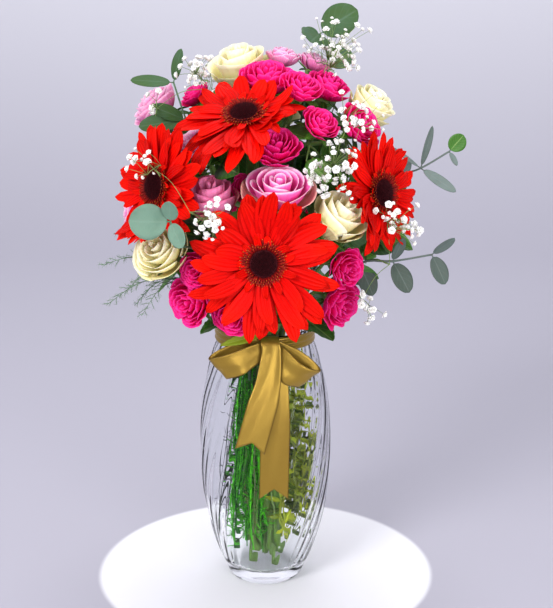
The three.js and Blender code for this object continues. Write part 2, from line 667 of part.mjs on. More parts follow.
// The red head: two layers of ray petals on a thin receptacle. Each petal is bent until it clears the blooms.
function makePetals(gerbera, roll) {
  const at = placeAt(...gerbera.place);
  const placed = standMatrix(at, towards(...gerbera.faces));
  const receptacle = new THREE.CylinderGeometry(receptacleRadius, receptacleRadius, 5, 9);
  receptacle.rotateX(Math.PI / 2);
  receptacle.translate(0, 0, -2);
  const pieces = [receptacle];
  const points = [];
  const draw = draws(seed + roll);
  const layers = [
    { count: outerPetals, reach: 1, root: -2.6, rise: 0.5, shift: 0 },
    { count: innerPetals, reach: 0.84, root: -1.1, rise: 4.5, shift: 0.5 },
  ];
  for (const layer of layers) {
    for (let i = 0; i < layer.count; i += 1) {
      const length = gerbera.radius * layer.reach * (0.93 + 0.09 * draw());
      const around = (2 * Math.PI * (i + layer.shift + 0.24 * (draw() - 0.5))) / layer.count + roll;
      const lifts = [0, 4, 8, 12, 17, 22, 28, -5, -10];
      const along = (stations, side) => stations.slice(1).map(([x, z, halfWidth]) => (
        point(x, side * halfWidth, z).applyAxisAngle(point(0, 0, 1), around).applyMatrix4(placed)
      ));
      const stationsFor = (lift) => petalStations(length, layer.root, layer.rise, lift);
      const lift = lifts.find((value) => [-1, 0, 1].every((side) => (
        isClear(stepped(along(stationsFor(value), side), 5), 2)
      ))) ?? 0;
      const stations = stationsFor(lift);
      const petal = blade(stations);
      petal.rotateZ(around);
      pieces.push(petal);
      points.push(along(stations, 0));
    }
  }
  points.forEach((line) => stepped(line, 4).forEach((here) => take(here, 3.4)));
  return fuse(pieces).applyMatrix4(placed);
}

// The dark disc with its ring of short florets
function makeDisc(gerbera) {
  const rings = [
    [0, 0, 0, 0], [10, 0, 0, 0], [17.5, 5.6, 0.1, 0], [11, 3.4, 0, 0], [8, 5, 0, 0], [0, 4.6, 0, 0],
  ];
  const disc = lobed(rings, 16, 8);
  const facing = towards(...gerbera.faces);
  const at = placeAt(...gerbera.place).addScaledVector(facing, 0.5 + gap);
  return stand(geometryOf(solidOf(disc)), at, facing);
}

// The green stem with its cup of bracts
function makeGerberaStem(gerbera) {
  const facing = towards(...gerbera.faces);
  const at = placeAt(...gerbera.place);
  const rings = [[0, 0, 0, 0], [11, 0, 0.16, 0], [9.4, -4, 0.05, 0], [4.4, -9, 0, 0], [0, -9, 0, 0]];
  const cup = stand(lobed(rings, 12, 6), at.clone().addScaledVector(facing, -4.9 - gap), facing);
  const end = at.clone().addScaledVector(facing, -12);
  const route = stemRoute(gerberaRing, gerbera.slot, gerbera.tip, end, facing);
  takeAlong(route, gerberaStemRadius);
  return fuse([rod(route, [gerberaStemRadius], 5), cup]);
}

// Baby's breath: the stem's slot and cut end, its way out to the last fork, and its clusters of florets, each
// [bearing, rise, reach, size, florets]
const breaths = [
  {
    name: 'breath_top', slot: 150, low: 140, way: [[106, 55, 114]],
    clusters: [[92, 66, 143, 24, 8], [125, 60, 136, 18, 3]],
  },
  {
    name: 'breath_right', slot: 40, low: 188, way: [[34, 28, 112]],
    clusters: [[43, 39, 138, 17, 6], [27, 22, 132, 15, 5]],
  },
  {
    name: 'breath_low_right', slot: 55, low: 188, way: [[64, -30, 104], [56, -24, 138]],
    clusters: [[50, -3, 140, 17, 6], [50, -31, 126, 13, 3]],
  },
  {
    name: 'breath_left', slot: -24, low: 188, way: [[-24, 3, 108], [-24, 9, 138]],
    clusters: [[-21, 8, 146, 13, 5], [-42, 23, 150, 14, 4]],
  },
  {
    name: 'breath_top_left', slot: -110, low: 150, way: [[-66, 62, 112]],
    clusters: [[-64, 62, 128, 15, 4], [-74, 43, 132, 13, 3]],
  },
  {
    name: 'breath_back', slot: 172, low: 130, way: [[-174, 10, 108]],
    clusters: [[-178, 8, 134, 20, 5], [-150, 46, 130, 18, 3]],
  },
];

// The place near a wanted one that the branch from the hub reaches without touching anything, or the hub
function clusterCentre(hub, wanted, draw) {
  const tried = [0, 1, 2, 3, 4, 5, 6, 7, 8].map((i) => (
    point(draw() - 0.5, draw() - 0.5, draw() - 0.5).multiplyScalar(3 * i).add(wanted)
  ));
  return tried.find((here) => isClear(stepped([hub, here], 2).slice(2), 1)) ?? hub;
}

function makeBreath(spray, number) {
  const draw = draws(seed + 17 * number);
  const trunk = twigRoute(spray.slot, spray.low, spray.way, twigRadius);
  const hub = trunk.at(-1);
  const pieces = [rod(trunk, [twigRadius, twigRadius, twigRadius, 1.1, 0.9], 3)];
  for (const [bearing, rise, reach, size, florets] of spray.clusters) {
    const centre = clusterCentre(hub, placeAt(bearing, rise, reach - 0.6 * size), draw);
    if (centre !== hub) {
      pieces.push(rod([hub, centre], [0.85], 3));
    }
    let placed = 0;
    for (let i = 0; i < 90 && placed < florets; i += 1) {
      const aside = point(draw() - 0.5, draw() - 0.5, draw() - 0.5).multiplyScalar(2 * size);
      const at = placeAt(bearing, rise, reach).add(aside);
      if (isClear([at], floretRadius + 0.4) && isClear(stepped([centre, at], 2), floretTwigRadius + 0.8)) {
        const ball = new THREE.OctahedronGeometry(floretRadius);
        ball.rotateX(draw() * 3);
        ball.translate(at.x, at.y, at.z);
        pieces.push(ball, rod([centre, at], [floretTwigRadius], 3));
        take(at, floretRadius);
        placed += 1;
      }
    }
  }
  return fuse(pieces);
}

// Eucalyptus: the twig's slot and cut end, its way through points round the heart, and its leaves, each
// [point number, bearing, rise, length, width]
const eucalypts = [
  {
    name: 'eucalyptus_top', slot: 132, low: 120, way: [[138, 58, 98], [124, 56, 128], [112, 65, 156]],
    leaves: [[2, 92, 40, 34, 24], [2, -60, 24, 32, 22], [1, 140, 30, 28, 20]],
  },
  {
    name: 'eucalyptus_left', slot: -20, low: 188, way: [[-25, 0, 106], [-26, 3, 136], [-33, 6, 148]],
    leaves: [[2, -80, 6, 31, 27], [1, 40, -40, 18, 8]],
  },
  {
    name: 'eucalyptus_top_left', slot: -95, low: 140, way: [[-76, 48, 98], [-76, 54, 128]],
    leaves: [[1, 30, 66, 30, 9], [1, -88, 4, 34, 9], [0, -80, -6, 38, 14], [0, -76, 24, 30, 10]],
  },
  {
    name: 'eucalyptus_right', slot: 108, low: 150, way: [[84, 10, 100], [79, 15, 134], [79, 18, 160]],
    leaves: [
      [1, 60, 74, 36, 7], [1, 86, -34, 34, 9], [2, 100, 50, 17, 16], [2, 70, -20, 22, 9],
      [0, 110, 40, 30, 16],
    ],
  },
  {
    name: 'eucalyptus_low_right', slot: 72, low: 188, way: [[60, -24, 98], [60, -16, 124], [66, -11, 150]],
    leaves: [
      [0, 50, -60, 28, 15], [1, 60, -56, 28, 14], [1, 40, 60, 24, 9], [2, 70, -62, 26, 13],
      [2, 66, 40, 24, 8],
    ],
  },
];

// A round or oval leaf
function roundLeafStations(length, width) {
  return [
    [0, 0, 0.6, 1], [0.16 * length, 0.03 * length, 0.34 * width, 1],
    [0.5 * length, 0.06 * length, 0.5 * width, 1], [0.86 * length, 0.03 * length, 0.36 * width, 0.9],
    [length, 0, 0, 0],
  ];
}

function makeEucalyptus(sprig) {
  const trunk = twigRoute(sprig.slot, sprig.low, sprig.way, 1.4);
  const outer = trunk.slice(-sprig.way.length);
  const pieces = [rod(trunk, [1.5, 1.5, 1.5, 1.3, 1.1, 0.9], 3)];
  for (const [number, bearing, rise, length, width] of sprig.leaves) {
    const root = outer[number];
    const along = towards(bearing, rise);
    const tip = root.clone().addScaledVector(along, length);
    const upper = root.clone().sub(heart).normalize().add(point(0, -1.3, 0));
    if (isClear([root.clone().lerp(tip, 0.5), tip], 0.16 * width)) {
      pieces.push(lay(blade(roundLeafStations(length, width)), root, along, upper));
      stepped([root.clone().lerp(tip, 0.2), tip], 5).forEach((here) => take(here, 0.42 * width));
    }
  }
  return fuse(pieces);
}

// A thin plate in the outline of a rib with needles or leaflets on both sides, slanting towards its tip
function combOutline(length, teeth, reach, width, lean) {
  const outline = new THREE.Shape();
  const ribHalf = 0.55;
  const toothPitch = length / (teeth + 1);
  const reachOf = (i) => reach * (1 - (0.55 * i) / teeth);
  outline.moveTo(0, -ribHalf);
  for (let i = 0; i < teeth; i += 1) {
    const from = toothPitch * (i + 0.5);
    const out = reachOf(i);
    outline.lineTo(from, -ribHalf);
    outline.lineTo(from + lean * out, -out);
    outline.lineTo(from + width, -ribHalf);
  }
  outline.lineTo(length, 0);
  for (let i = teeth - 1; i >= 0; i -= 1) {
    const from = toothPitch * (i + 0.9);
    const out = reachOf(i);
    outline.lineTo(from + width, ribHalf);
    outline.lineTo(from + lean * out, out);
    outline.lineTo(from, ribHalf);
  }
  outline.lineTo(0, ribHalf);
  return outline;
}

// Lays such a plate along a route, with its face towards an upper direction.
function laidPlate(outline, length, route, upper) {
  const geometry = new THREE.ExtrudeGeometry(outline, { depth: frondThickness, bevelEnabled: false });
  const line = new THREE.CatmullRomCurve3(route);
  const position = geometry.getAttribute('position');
  for (let i = 0; i < position.count; i += 1) {
    const share = THREE.MathUtils.clamp(position.getX(i) / length, 0, 1);
    const along = line.getTangent(share);
    const side = upper.clone().cross(along).normalize();
    const face = along.clone().cross(side);
    const here = line.getPoint(share).addScaledVector(along, position.getX(i) - share * length);
    here.addScaledVector(side, position.getY(i));
    here.addScaledVector(face, position.getZ(i) - frondThickness / 2);
    position.setXYZ(i, here.x, here.y, here.z);
  }
  return geometry;
}

// The feathery fronds outside, at the left: the stalk's slot, cut end and fork, and its two fronds' tips
const outerFerns = [
  {
    name: 'fern_left_upper', slot: -66, low: 188, fork: [-60, -30, 96],
    tips: [[-64, -14, 150], [-58, -4, 136]],
  },
  {
    name: 'fern_left_lower', slot: -78, low: 188, fork: [-66, -38, 92],
    tips: [[-66, -27, 158], [-76, -36, 138]],
  },
];

function makeOuterFern(fern) {
  const trunk = twigRoute(fern.slot, fern.low, [fern.fork], twigRadius);
  const start = trunk.at(-1);
  const pieces = [rod(trunk, [twigRadius], 3)];
  for (const tip of fern.tips) {
    const end = placeAt(...tip);
    const length = start.distanceTo(end);
    const sunk = start.clone().lerp(end, -0.02);
    const sag = start.clone().lerp(end, 0.5).add(point(0, 0, 2));
    const outline = combOutline(length, 7, 12, 1.8, 0.7);
    pieces.push(laidPlate(outline, length, [sunk, sag, end], towards(tip[0], 50)));
    stepped([start, sag, end], 5).forEach((here) => take(here, 6));
  }
  return fuse(pieces);
}

// The bright green fern in the glass, and the olive twigs beside it: stalks with side fronds on both sides
const insideTwigs = {
  fern_inside: {
    bearing: -38, side: 34, heights: [38, 62, 86, 110, 134], length: 60,
    teeth: 6, reach: 11, width: 1.8, lean: 0.7,
  },
  olive_twigs: {
    bearing: 52, side: 34, heights: [42, 72, 102, 130], length: 62,
    teeth: 4, reach: 12, width: 5, lean: 1,
  },
};

function makeInsideTwigs({ bearing, side, heights, length, teeth, reach, width, lean }) {
  const stalkSlot = 19.6;
  const stalkRadius = 1.6;
  const stalk = [waistTop - 4, 130, floorHeight + 3.4].map((height) => slotAt(stalkSlot, bearing, height));
  const pieces = [rod(stalk, [stalkRadius], 4)];
  takeAlong(stalk, stalkRadius);
  heights.forEach((height, i) => {
    const way = i % 2 === 0 ? side : -side;
    const root = slotAt(stalkSlot, bearing, height);
    const end = slotAt(28.5, bearing + way, height + 0.9 * length);
    const bulge = root.clone().lerp(end, 0.5).multiply(point(1.03, 1.03, 1));
    const outline = combOutline(length, teeth, reach, width, lean);
    pieces.push(laidPlate(outline, length, [root, bulge, end], towards(bearing + 0.5 * way, 0)));
    stepped([root, bulge, end], 4).forEach((here) => take(here, 4));
  });
  return fuse(pieces);
}

// The whole object
const bouquet = new THREE.Group();

function addNode(name, geometry, paint) {
  geometry.deleteAttribute('normal');
  geometry.computeVertexNormals();
  const mesh = new THREE.Mesh(geometry, new THREE.MeshStandardMaterial(paints[paint]));
  mesh.name = name;
  bouquet.add(mesh);
}

addNode('vase', makeVase(), 'glass');
addNode('ribbon', makeRibbon(), 'satin');
for (const rose of roses) {
  take(placeAt(...rose.place), rose.radius * roseKinds[rose.kind].clear, 'bloom');
  addNode(rose.name, makeRose(rose), rose.paint);
}
addNode('rose_stems', makeRoseStems(), 'roseStem');
gerberas.forEach((gerbera, i) => {
  addNode(`${gerbera.name}_petals`, makePetals(gerbera, i), 'gerberaRed');
  addNode(`${gerbera.name}_disc`, makeDisc(gerbera), 'gerberaDisc');
  addNode(`${gerbera.name}_stem`, makeGerberaStem(gerbera), 'gerberaStem');
});
addNode('fern_inside', makeInsideTwigs(insideTwigs.fern_inside), 'fern');
addNode('olive_twigs', makeInsideTwigs(insideTwigs.olive_twigs), 'olive');
eucalypts.forEach((sprig) => addNode(sprig.name, makeEucalyptus(sprig), 'eucalyptus'));
outerFerns.forEach((fern) => addNode(fern.name, makeOuterFern(fern), 'paleFern'));
breaths.forEach((spray, i) => addNode(spray.name, makeBreath(spray, i), 'breath'));

export default bouquet;
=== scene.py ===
import math
import random
import bpy
import numpy as np
from mathutils import Matrix, Vector
from mathutils.bvhtree import BVHTree


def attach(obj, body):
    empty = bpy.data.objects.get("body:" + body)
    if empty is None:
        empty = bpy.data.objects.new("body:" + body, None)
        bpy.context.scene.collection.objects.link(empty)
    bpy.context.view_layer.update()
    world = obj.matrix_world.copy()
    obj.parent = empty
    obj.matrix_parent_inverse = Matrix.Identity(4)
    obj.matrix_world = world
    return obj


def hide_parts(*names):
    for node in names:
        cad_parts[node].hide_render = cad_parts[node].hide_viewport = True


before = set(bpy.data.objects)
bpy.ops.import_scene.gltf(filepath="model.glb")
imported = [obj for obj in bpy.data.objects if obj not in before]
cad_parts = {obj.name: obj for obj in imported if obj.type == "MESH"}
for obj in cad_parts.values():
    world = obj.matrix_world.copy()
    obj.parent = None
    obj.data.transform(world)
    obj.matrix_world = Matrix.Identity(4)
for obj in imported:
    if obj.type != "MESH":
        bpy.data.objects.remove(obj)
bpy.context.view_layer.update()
scene = bpy.context.scene

# Everything is laid out in millimetres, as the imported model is, and finishPiece() brings it to metres.
heart = Vector((0, 0, 335))  # where the blooms' directions start
millimetre = 0.001


def towards(bearing, rise):
    around, up = math.radians(bearing), math.radians(rise)
    return Vector((math.sin(around) * math.cos(up), -math.cos(around) * math.cos(up), math.sin(up)))


def placeAt(bearing, rise, reach):
    return heart + reach * towards(bearing, rise)


def upBy(height):
    return Vector((0, 0, height))


def spokeAt(turn):
    return Vector((math.cos(turn), math.sin(turn), 0))


def anyWay(pick):
    return Vector([pick.uniform(-1, 1) for _ in range(3)]).normalized()


def standMatrix(at, facing):
    across = upBy(1).cross(facing).normalized()
    turned = Matrix((across, facing.cross(across), facing)).transposed().to_4x4()
    turned.translation = at
    return turned


def draws(start):
    state = start

    def draw():
        nonlocal state
        state = (state * 1664525 + 1013904223) % 4294967296
        return state / 4294967296

    return draw


def smoothPath(points, step):
    # a Catmull-Rom line through the points, with a place about every step millimetres
    ends = [2 * points[0] - points[1], *points, 2 * points[-1] - points[-2]]
    line = []
    for i in range(1, len(ends) - 2):
        p0, p1, p2, p3 = ends[i - 1], ends[i], ends[i + 1], ends[i + 2]
        count = max(2, round((p2 - p1).length / step))
        for k in range(count):
            t = k / count
            line.append(0.5 * (2 * p1 + (p2 - p0) * t + (2 * p0 - 5 * p1 + 4 * p2 - p3) * t * t
                               + (3 * p1 - 3 * p2 + p3 - p0) * t ** 3))
    return [*line, points[-1].copy()]


def pointAlong(line, share):
    lengths = [0.0]
    for a, b in zip(line, line[1:]):
        lengths.append(lengths[-1] + (b - a).length)
    wanted = share * lengths[-1]
    for i in range(1, len(line)):
        if lengths[i] >= wanted:
            part = (wanted - lengths[i - 1]) / max(lengths[i] - lengths[i - 1], 1e-6)
            return line[i - 1].lerp(line[i], part), (line[i] - line[i - 1]).normalized()
    return line[-1].copy(), (line[-1] - line[-2]).normalized()


# Node trees: arithmetic on sockets
def operator(operation):
    return lambda wire, other: wire.calc(operation, other)


class Wire:
    def __init__(self, graph, socket):
        self.graph = graph
        self.socket = socket

    def calc(self, operation, *others):
        return self.graph.calc(operation, self, *others)

    __add__ = __radd__ = operator("ADD")
    __mul__ = __rmul__ = operator("MULTIPLY")
    __sub__ = operator("SUBTRACT")
    __truediv__ = operator("DIVIDE")
    __pow__ = operator("POWER")

    def __rsub__(self, other):
        return self.graph.calc("SUBTRACT", other, self)

    def clip(self, low=0.0, high=1.0):
        return self.calc("MAXIMUM", low).calc("MINIMUM", high)

    def step(self, low, high):
        share = ((self - low) / (high - low)).clip()
        return share * share * (3 - 2 * share)


class Graph:
    def __init__(self, tree):
        self.tree = tree

    def add(self, kind, settings=None, values=None, out=0):
        node = self.tree.nodes.new(kind)
        for key, value in (settings or {}).items():
            if key == "stops":
                ramp = node.color_ramp
                while len(ramp.elements) < len(value):
                    ramp.elements.new(0.5)
                for stop, (place, tint) in zip(ramp.elements, value):
                    stop.position = place
                    stop.color = tint
            else:
                setattr(node, key, value)
        for key, value in (values or {}).items():
            if isinstance(value, Wire):
                self.tree.links.new(value.socket, node.inputs[key])
            else:
                node.inputs[key].default_value = value
        return Wire(self, node.outputs[out])

    def calc(self, operation, *operands):
        return self.add("ShaderNodeMath", {"operation": operation}, dict(enumerate(operands)))

    def attribute(self, name):
        return self.add("ShaderNodeAttribute", {"attribute_name": name}, out="Fac")

    def stored(self, name, kind="FLOAT"):
        return self.add("GeometryNodeInputNamedAttribute", {"data_type": kind}, {"Name": name})

    def vectors(self, operation, values):
        return self.add("ShaderNodeVectorMath", {"operation": operation}, values)

    def scaled(self, vector, size):
        return self.vectors("SCALE", {0: vector, "Scale": size})

    def summed(self, first, *others):
        for other in others:
            first = self.vectors("ADD", {0: first, 1: other})
        return first

    def crossed(self, first, second):
        return self.vectors("CROSS_PRODUCT", {0: first, 1: second})

    def place(self, x, y, z):
        return self.add("ShaderNodeCombineXYZ", {}, {"X": x, "Y": y, "Z": z})

    def blend(self, share, first, second, how="MIX"):
        settings = {"data_type": "RGBA", "blend_type": how}
        return self.add("ShaderNodeMix", settings, {0: share, 6: first, 7: second}, out=2)

    def shade(self, share, first, second):
        return self.blend(share, first, second, "MULTIPLY")

    def noise(self, where, scale, detail):
        values = {"Vector": where, "Scale": scale, "Detail": detail}
        return self.add("ShaderNodeTexNoise", {}, values, out="Fac")

    def parts(self, vector):
        split = self.add("ShaderNodeSeparateXYZ", {}, {"Vector": vector})
        return [Wire(self, socket) for socket in split.socket.node.outputs]

    def ramp(self, stops, share):
        stops = [(place, colour(code)) for place, code in stops]
        return self.add("ShaderNodeValToRGB", {"stops": stops}, {"Fac": share})

    def bump(self, strength, distance, height):
        values = {"Strength": strength, "Distance": distance, "Height": height}
        return self.add("ShaderNodeBump", {}, values)


# Geometry trees: each takes points that carry the numbers of one petal, leaf or twig
def newTree(name, inputs):
    tree = bpy.data.node_groups.new(name, "GeometryNodeTree")
    tree.interface.new_socket("Geometry", in_out="INPUT", socket_type="NodeSocketGeometry")
    tree.interface.new_socket("Geometry", in_out="OUTPUT", socket_type="NodeSocketGeometry")
    for label, (kind, value) in inputs.items():
        socket = tree.interface.new_socket(label, in_out="INPUT", socket_type="NodeSocket" + kind)
        if value is not None:
            socket.default_value = value
    graph = Graph(tree)
    entry = tree.nodes.new("NodeGroupInput")
    return graph, {s.name: Wire(graph, s) for s in entry.outputs if s.name}


def closeTree(graph, geometry, given):
    smooth = graph.add("GeometryNodeSetShadeSmooth", {}, {"Geometry": geometry})
    real = graph.add("GeometryNodeRealizeInstances", {}, {"Geometry": smooth})
    dressed = graph.add("GeometryNodeSetMaterial", {}, {"Geometry": real, "Material": given["Finish"]})
    leaving = graph.tree.nodes.new("NodeGroupOutput")
    graph.tree.links.new(dressed.socket, leaving.inputs[0])
    return graph.tree


def surfaceTree(name, across, along, shape):
    # a sheet of across by along places on every point, bent by the shape from the point's own numbers
    inputs = {"Across": ("Int", across), "Along": ("Int", along), "Finish": ("Material", None)}
    graph, given = newTree(name, inputs)
    sheet = graph.add("GeometryNodeMeshGrid", {}, {
        "Size X": 2.0, "Size Y": 1.0, "Vertices X": given["Across"], "Vertices Y": given["Along"]})
    x, y, _ = graph.parts(graph.add("GeometryNodeInputPosition"))
    for key, value in (("across", x), ("along", y + 0.5)):
        sheet = graph.add("GeometryNodeStoreNamedAttribute", {"data_type": "FLOAT", "domain": "POINT"},
                          {"Geometry": sheet, "Name": key, "Value": value})
    copies = graph.add("GeometryNodeInstanceOnPoints", {}, {"Points": given["Geometry"], "Instance": sheet})
    real = graph.add("GeometryNodeRealizeInstances", {}, {"Geometry": copies})
    place = shape(graph, graph.stored("across"), graph.stored("along"))
    bent = graph.add("GeometryNodeSetPosition", {}, {"Geometry": real, "Position": place})
    return closeTree(graph, bent, given)


def tubeTree():
    # round twigs along chains of edges, as thick as each point says
    inputs = {"Sides": ("Int", 6), "Finish": ("Material", None)}
    graph, given = newTree("twigTubes", inputs)
    line = graph.add("GeometryNodeMeshToCurve", {}, {"Mesh": given["Geometry"]})
    ring = graph.add("GeometryNodeCurvePrimitiveCircle", {}, {"Resolution": given["Sides"], "Radius": 1.0})
    tube = graph.add("GeometryNodeCurveToMesh", {}, {
        "Curve": line, "Profile Curve": ring, "Scale": graph.stored("thick"), "Fill Caps": True})
    return closeTree(graph, tube, given)


def needleTree():
    # a slim pointed needle on every point, along the point's own direction
    inputs = {"Sides": ("Int", 3), "Finish": ("Material", None)}
    graph, given = newTree("needles", inputs)
    needle = graph.add("GeometryNodeMeshCone", {}, {
        "Vertices": given["Sides"], "Radius Top": 0.15, "Radius Bottom": 1.0, "Depth": 1.0})
    turned = graph.add("FunctionNodeAlignRotationToVector", {"axis": "Z"},
                       {"Vector": graph.stored("way", "FLOAT_VECTOR")})
    thick = graph.stored("thick")
    copies = graph.add("GeometryNodeInstanceOnPoints", {}, {
        "Points": given["Geometry"], "Instance": needle, "Rotation": turned,
        "Scale": graph.place(thick, thick, graph.stored("length"))})
    return closeTree(graph, copies, given)


def linked(name, data):
    holder = bpy.data.objects.new(name, data)
    scene.collection.objects.link(holder)
    return holder


def takenMesh(holder, wall):
    # the holder's plain mesh, made as thick as its wall, with the holder cleared away
    if wall:
        shell = holder.modifiers.new("wall", "SOLIDIFY")
        shell.thickness = wall
        shell.offset = 0.0
    graph = bpy.context.evaluated_depsgraph_get()
    mesh = bpy.data.meshes.new_from_object(
        holder.evaluated_get(graph), preserve_all_data_layers=True, depsgraph=graph)
    bpy.data.objects.remove(holder)
    return mesh


def plainMesh(name, verts, faces, finish, marks=None):
    mesh = bpy.data.meshes.new(name)
    mesh.from_pydata(verts, [], faces)
    for key, column in (marks or {}).items():
        layer = mesh.attributes.new(key, "FLOAT", "POINT")
        layer.data.foreach_set("value", column)
    mesh.polygons.foreach_set("use_smooth", [True] * len(mesh.polygons))
    mesh.materials.append(finish)
    return mesh


def grow(name, tree, points, numbers, values, edges=(), wall=0.0):
    # runs a tree on points that carry numbers, and gives the plain mesh
    seeds = bpy.data.meshes.new(name + "Seeds")
    seeds.from_pydata([tuple(p) for p in points], list(edges), [])
    for key, column in numbers.items():
        isVector = hasattr(column[0], "__len__")
        layer = seeds.attributes.new(key, "FLOAT_VECTOR" if isVector else "FLOAT", "POINT")
        flat = np.array([tuple(v) if isVector else v for v in column], np.float32).ravel()
        layer.data.foreach_set("vector" if isVector else "value", flat)
    holder = linked(name + "Seeds", seeds)
    modifier = holder.modifiers.new("grow", "NODES")
    modifier.node_group = tree
    for item in tree.interface.items_tree:
        if item.in_out == "INPUT" and item.name in values:
            modifier[item.identifier] = values[item.name]
    mesh = takenMesh(holder, wall)
    bpy.data.meshes.remove(seeds)
    for spare in ("thick", "way", "side", "root", "rim", "top", "base", "half", "curl", "phase", "bend"):
        if spare in mesh.attributes:
            mesh.attributes.remove(mesh.attributes[spare])
    return mesh


def columns(rows):
    # the rows' dictionaries, turned into one list for each number
    return {key: [row[key] for row in rows] for key in rows[0]}


def pulled(items, key, count, kind=np.int32):
    column = np.zeros(count, kind)
    items.foreach_get(key, column)
    return column


def joinMeshes(name, meshes):
    if len(meshes) == 1:
        return meshes[0]
    finishes, spots, loops, starts, slots, base = [], [], [], [], [], 0
    marks = {key: [] for key in ("along", "across", "tone", "guard")}
    for mesh in meshes:
        count, polygons = len(mesh.vertices), len(mesh.polygons)
        finishes += [m for m in mesh.materials if m not in finishes]
        order = np.array([finishes.index(m) for m in mesh.materials])
        starts.append(pulled(mesh.polygons, "loop_start", polygons) + sum(len(part) for part in loops))
        loops.append(pulled(mesh.loops, "vertex_index", len(mesh.loops)) + base)
        slots.append(order[pulled(mesh.polygons, "material_index", polygons)])
        spots.append(pulled(mesh.vertices, "co", count * 3, np.float32))
        for key, parts in marks.items():
            if key in mesh.attributes:
                parts.append(pulled(mesh.attributes[key].data, "value", count, np.float32))
            else:
                parts.append(np.zeros(count, np.float32))
        base += count
        bpy.data.meshes.remove(mesh)
    joined = bpy.data.meshes.new(name)
    joined.vertices.add(base)
    joined.vertices.foreach_set("co", np.concatenate(spots))
    joined.loops.add(sum(len(part) for part in loops))
    joined.loops.foreach_set("vertex_index", np.concatenate(loops))
    joined.polygons.add(sum(len(part) for part in starts))
    joined.polygons.foreach_set("loop_start", np.concatenate(starts))
    joined.polygons.foreach_set("material_index", np.concatenate(slots).astype(np.int32))
    for finish in finishes:
        joined.materials.append(finish)
    for key, parts in marks.items():
        layer = joined.attributes.new(key, "FLOAT", "POINT")
        layer.data.foreach_set("value", np.concatenate(parts))
    joined.update(calc_edges=True)
    joined.polygons.foreach_set("use_smooth", [True] * len(joined.polygons))
    return joined


def finishPiece(name, meshes, slot, *nodes):
    mesh = joinMeshes(name, meshes)
    mesh.transform(Matrix.Scale(millimetre, 4))
    mesh.name = name
    piece = linked(name, mesh)
    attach(piece, "root")
    if nodes:
        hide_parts(*nodes)
    print(f"{name}: {sum(len(p.vertices) - 2 for p in mesh.polygons)} triangles")
    return piece


def makeEach(table, make, stage):
    for number, name in enumerate(table):
        make(name, number)
    print(f"{stage} ready")


def latheMesh(name, rings, sectors, finish, bulge=None):
    # a closed turned shape from rings of (radius, height); bulge() gives the real radius
    verts, faces, rows = [], [], []
    for radius, height in rings:
        if radius < 1e-6:
            rows.append([len(verts)])
            verts.append((0, 0, height))
            continue
        rows.append(list(range(len(verts), len(verts) + sectors)))
        for k in range(sectors):
            around = 2 * math.pi * k / sectors
            reach = bulge(around, radius, height) if bulge else radius
            verts.append((reach * math.sin(around), -reach * math.cos(around), height))
    for low, high in zip(rows, rows[1:]):
        for k in range(sectors):
            n = (k + 1) % sectors
            a, b = low[k % len(low)], low[n % len(low)]
            c, d = high[n % len(high)], high[k % len(high)]
            faces.append([i for i, j in zip((a, b, c, d), (b, c, d, a)) if i != j])
    return plainMesh(name, verts, [f for f in faces if len(f) > 2], finish)


# Finishes
def colour(code):
    # a colour written as six hexadecimal figures, as Blender's linear one
    parts = [int(code[i:i + 2], 16) / 255 for i in (0, 2, 4)]
    return (*[p / 12.92 if p <= 0.04045 else ((p + 0.055) / 1.055) ** 2.4 for p in parts], 1.0)


def newFinish(name):
    finish = bpy.data.materials.new(name)
    finish.use_nodes = True
    graph = Graph(finish.node_tree)
    shader = finish.node_tree.nodes["Principled BSDF"]
    where = graph.add("ShaderNodeTexCoord", out="Object")
    return finish, graph, shader, where


def setShader(graph, shader, values):
    for key, value in values.items():
        if isinstance(value, Wire):
            graph.tree.links.new(value.socket, shader.inputs[key])
        else:
            shader.inputs[key].default_value = value


# What a petal's look and a leaf's look have where they say nothing else
petalDefaults = {
    "cloudScale": 90.0, "veinsAndGrooveShade": 9.0, "veinAndGrooveShadeDepth": 0.12, "rimSide": 0.06, "rimInner": 1.0, "relief": 0.35,
    "sheen": 0.04, "glow": 0.1, "gloss": 0.18,
}
leafDefaults = {"ribs": 7.0, "ribShare": 0.5, "gloss": 0.4}


def petalFinish(name, own):
    look = {**petalDefaults, **own}
    finish, graph, shader, where = newFinish(name)
    along, across, tone = (graph.attribute(k) for k in ("along", "across", "tone"))
    side = across.calc("ABSOLUTE")
    cloud = graph.noise(where, look["cloudScale"], 4.0)
    fine = graph.noise(where, 900.0, 2.0)
    body = graph.ramp(look["along"], along + 0.14 * (cloud - 0.5))
    # darker stripes along a petal: its own veins, and on the gerbera also painted shade standing for its
    # grooves
    veinsAndGrooveShade = (across * look["veinsAndGrooveShade"] * math.pi + 2.5 * cloud).calc("SINE")
    body = graph.shade(look["veinAndGrooveShadeDepth"] * veinsAndGrooveShade.step(0.2, 1.0), body, colour(look["veinAndGrooveShade"]))
    rim = (along + look["rimSide"] * side ** 6 + 0.10 * (cloud - 0.5)).step(*look["rimFrom"])
    plain = look["rimInner"]
    body = graph.blend(rim * look["rimShare"] * (plain + (1 - plain) * tone), body, colour(look["rim"]))
    body = graph.blend(tone.step(0.0, 1.0) * look["toneShare"], body, colour(look["tone"]))
    if "guard" in look:
        body = graph.blend(graph.attribute("guard") * look["guardShare"], body, colour(look["guard"]))
    setShader(graph, shader, {
        "Base Color": body, "Roughness": look["rough"] + 0.12 * (fine - 0.5),
        "Normal": graph.bump(look["relief"], 0.0006, 0.6 * veinsAndGrooveShade + 0.5 * fine + cloud),
        "Sheen Weight": look["sheen"], "Sheen Roughness": 0.4, "Specular IOR Level": look["gloss"],
        "Subsurface Weight": look["glow"], "Subsurface Scale": 0.002})
    return finish


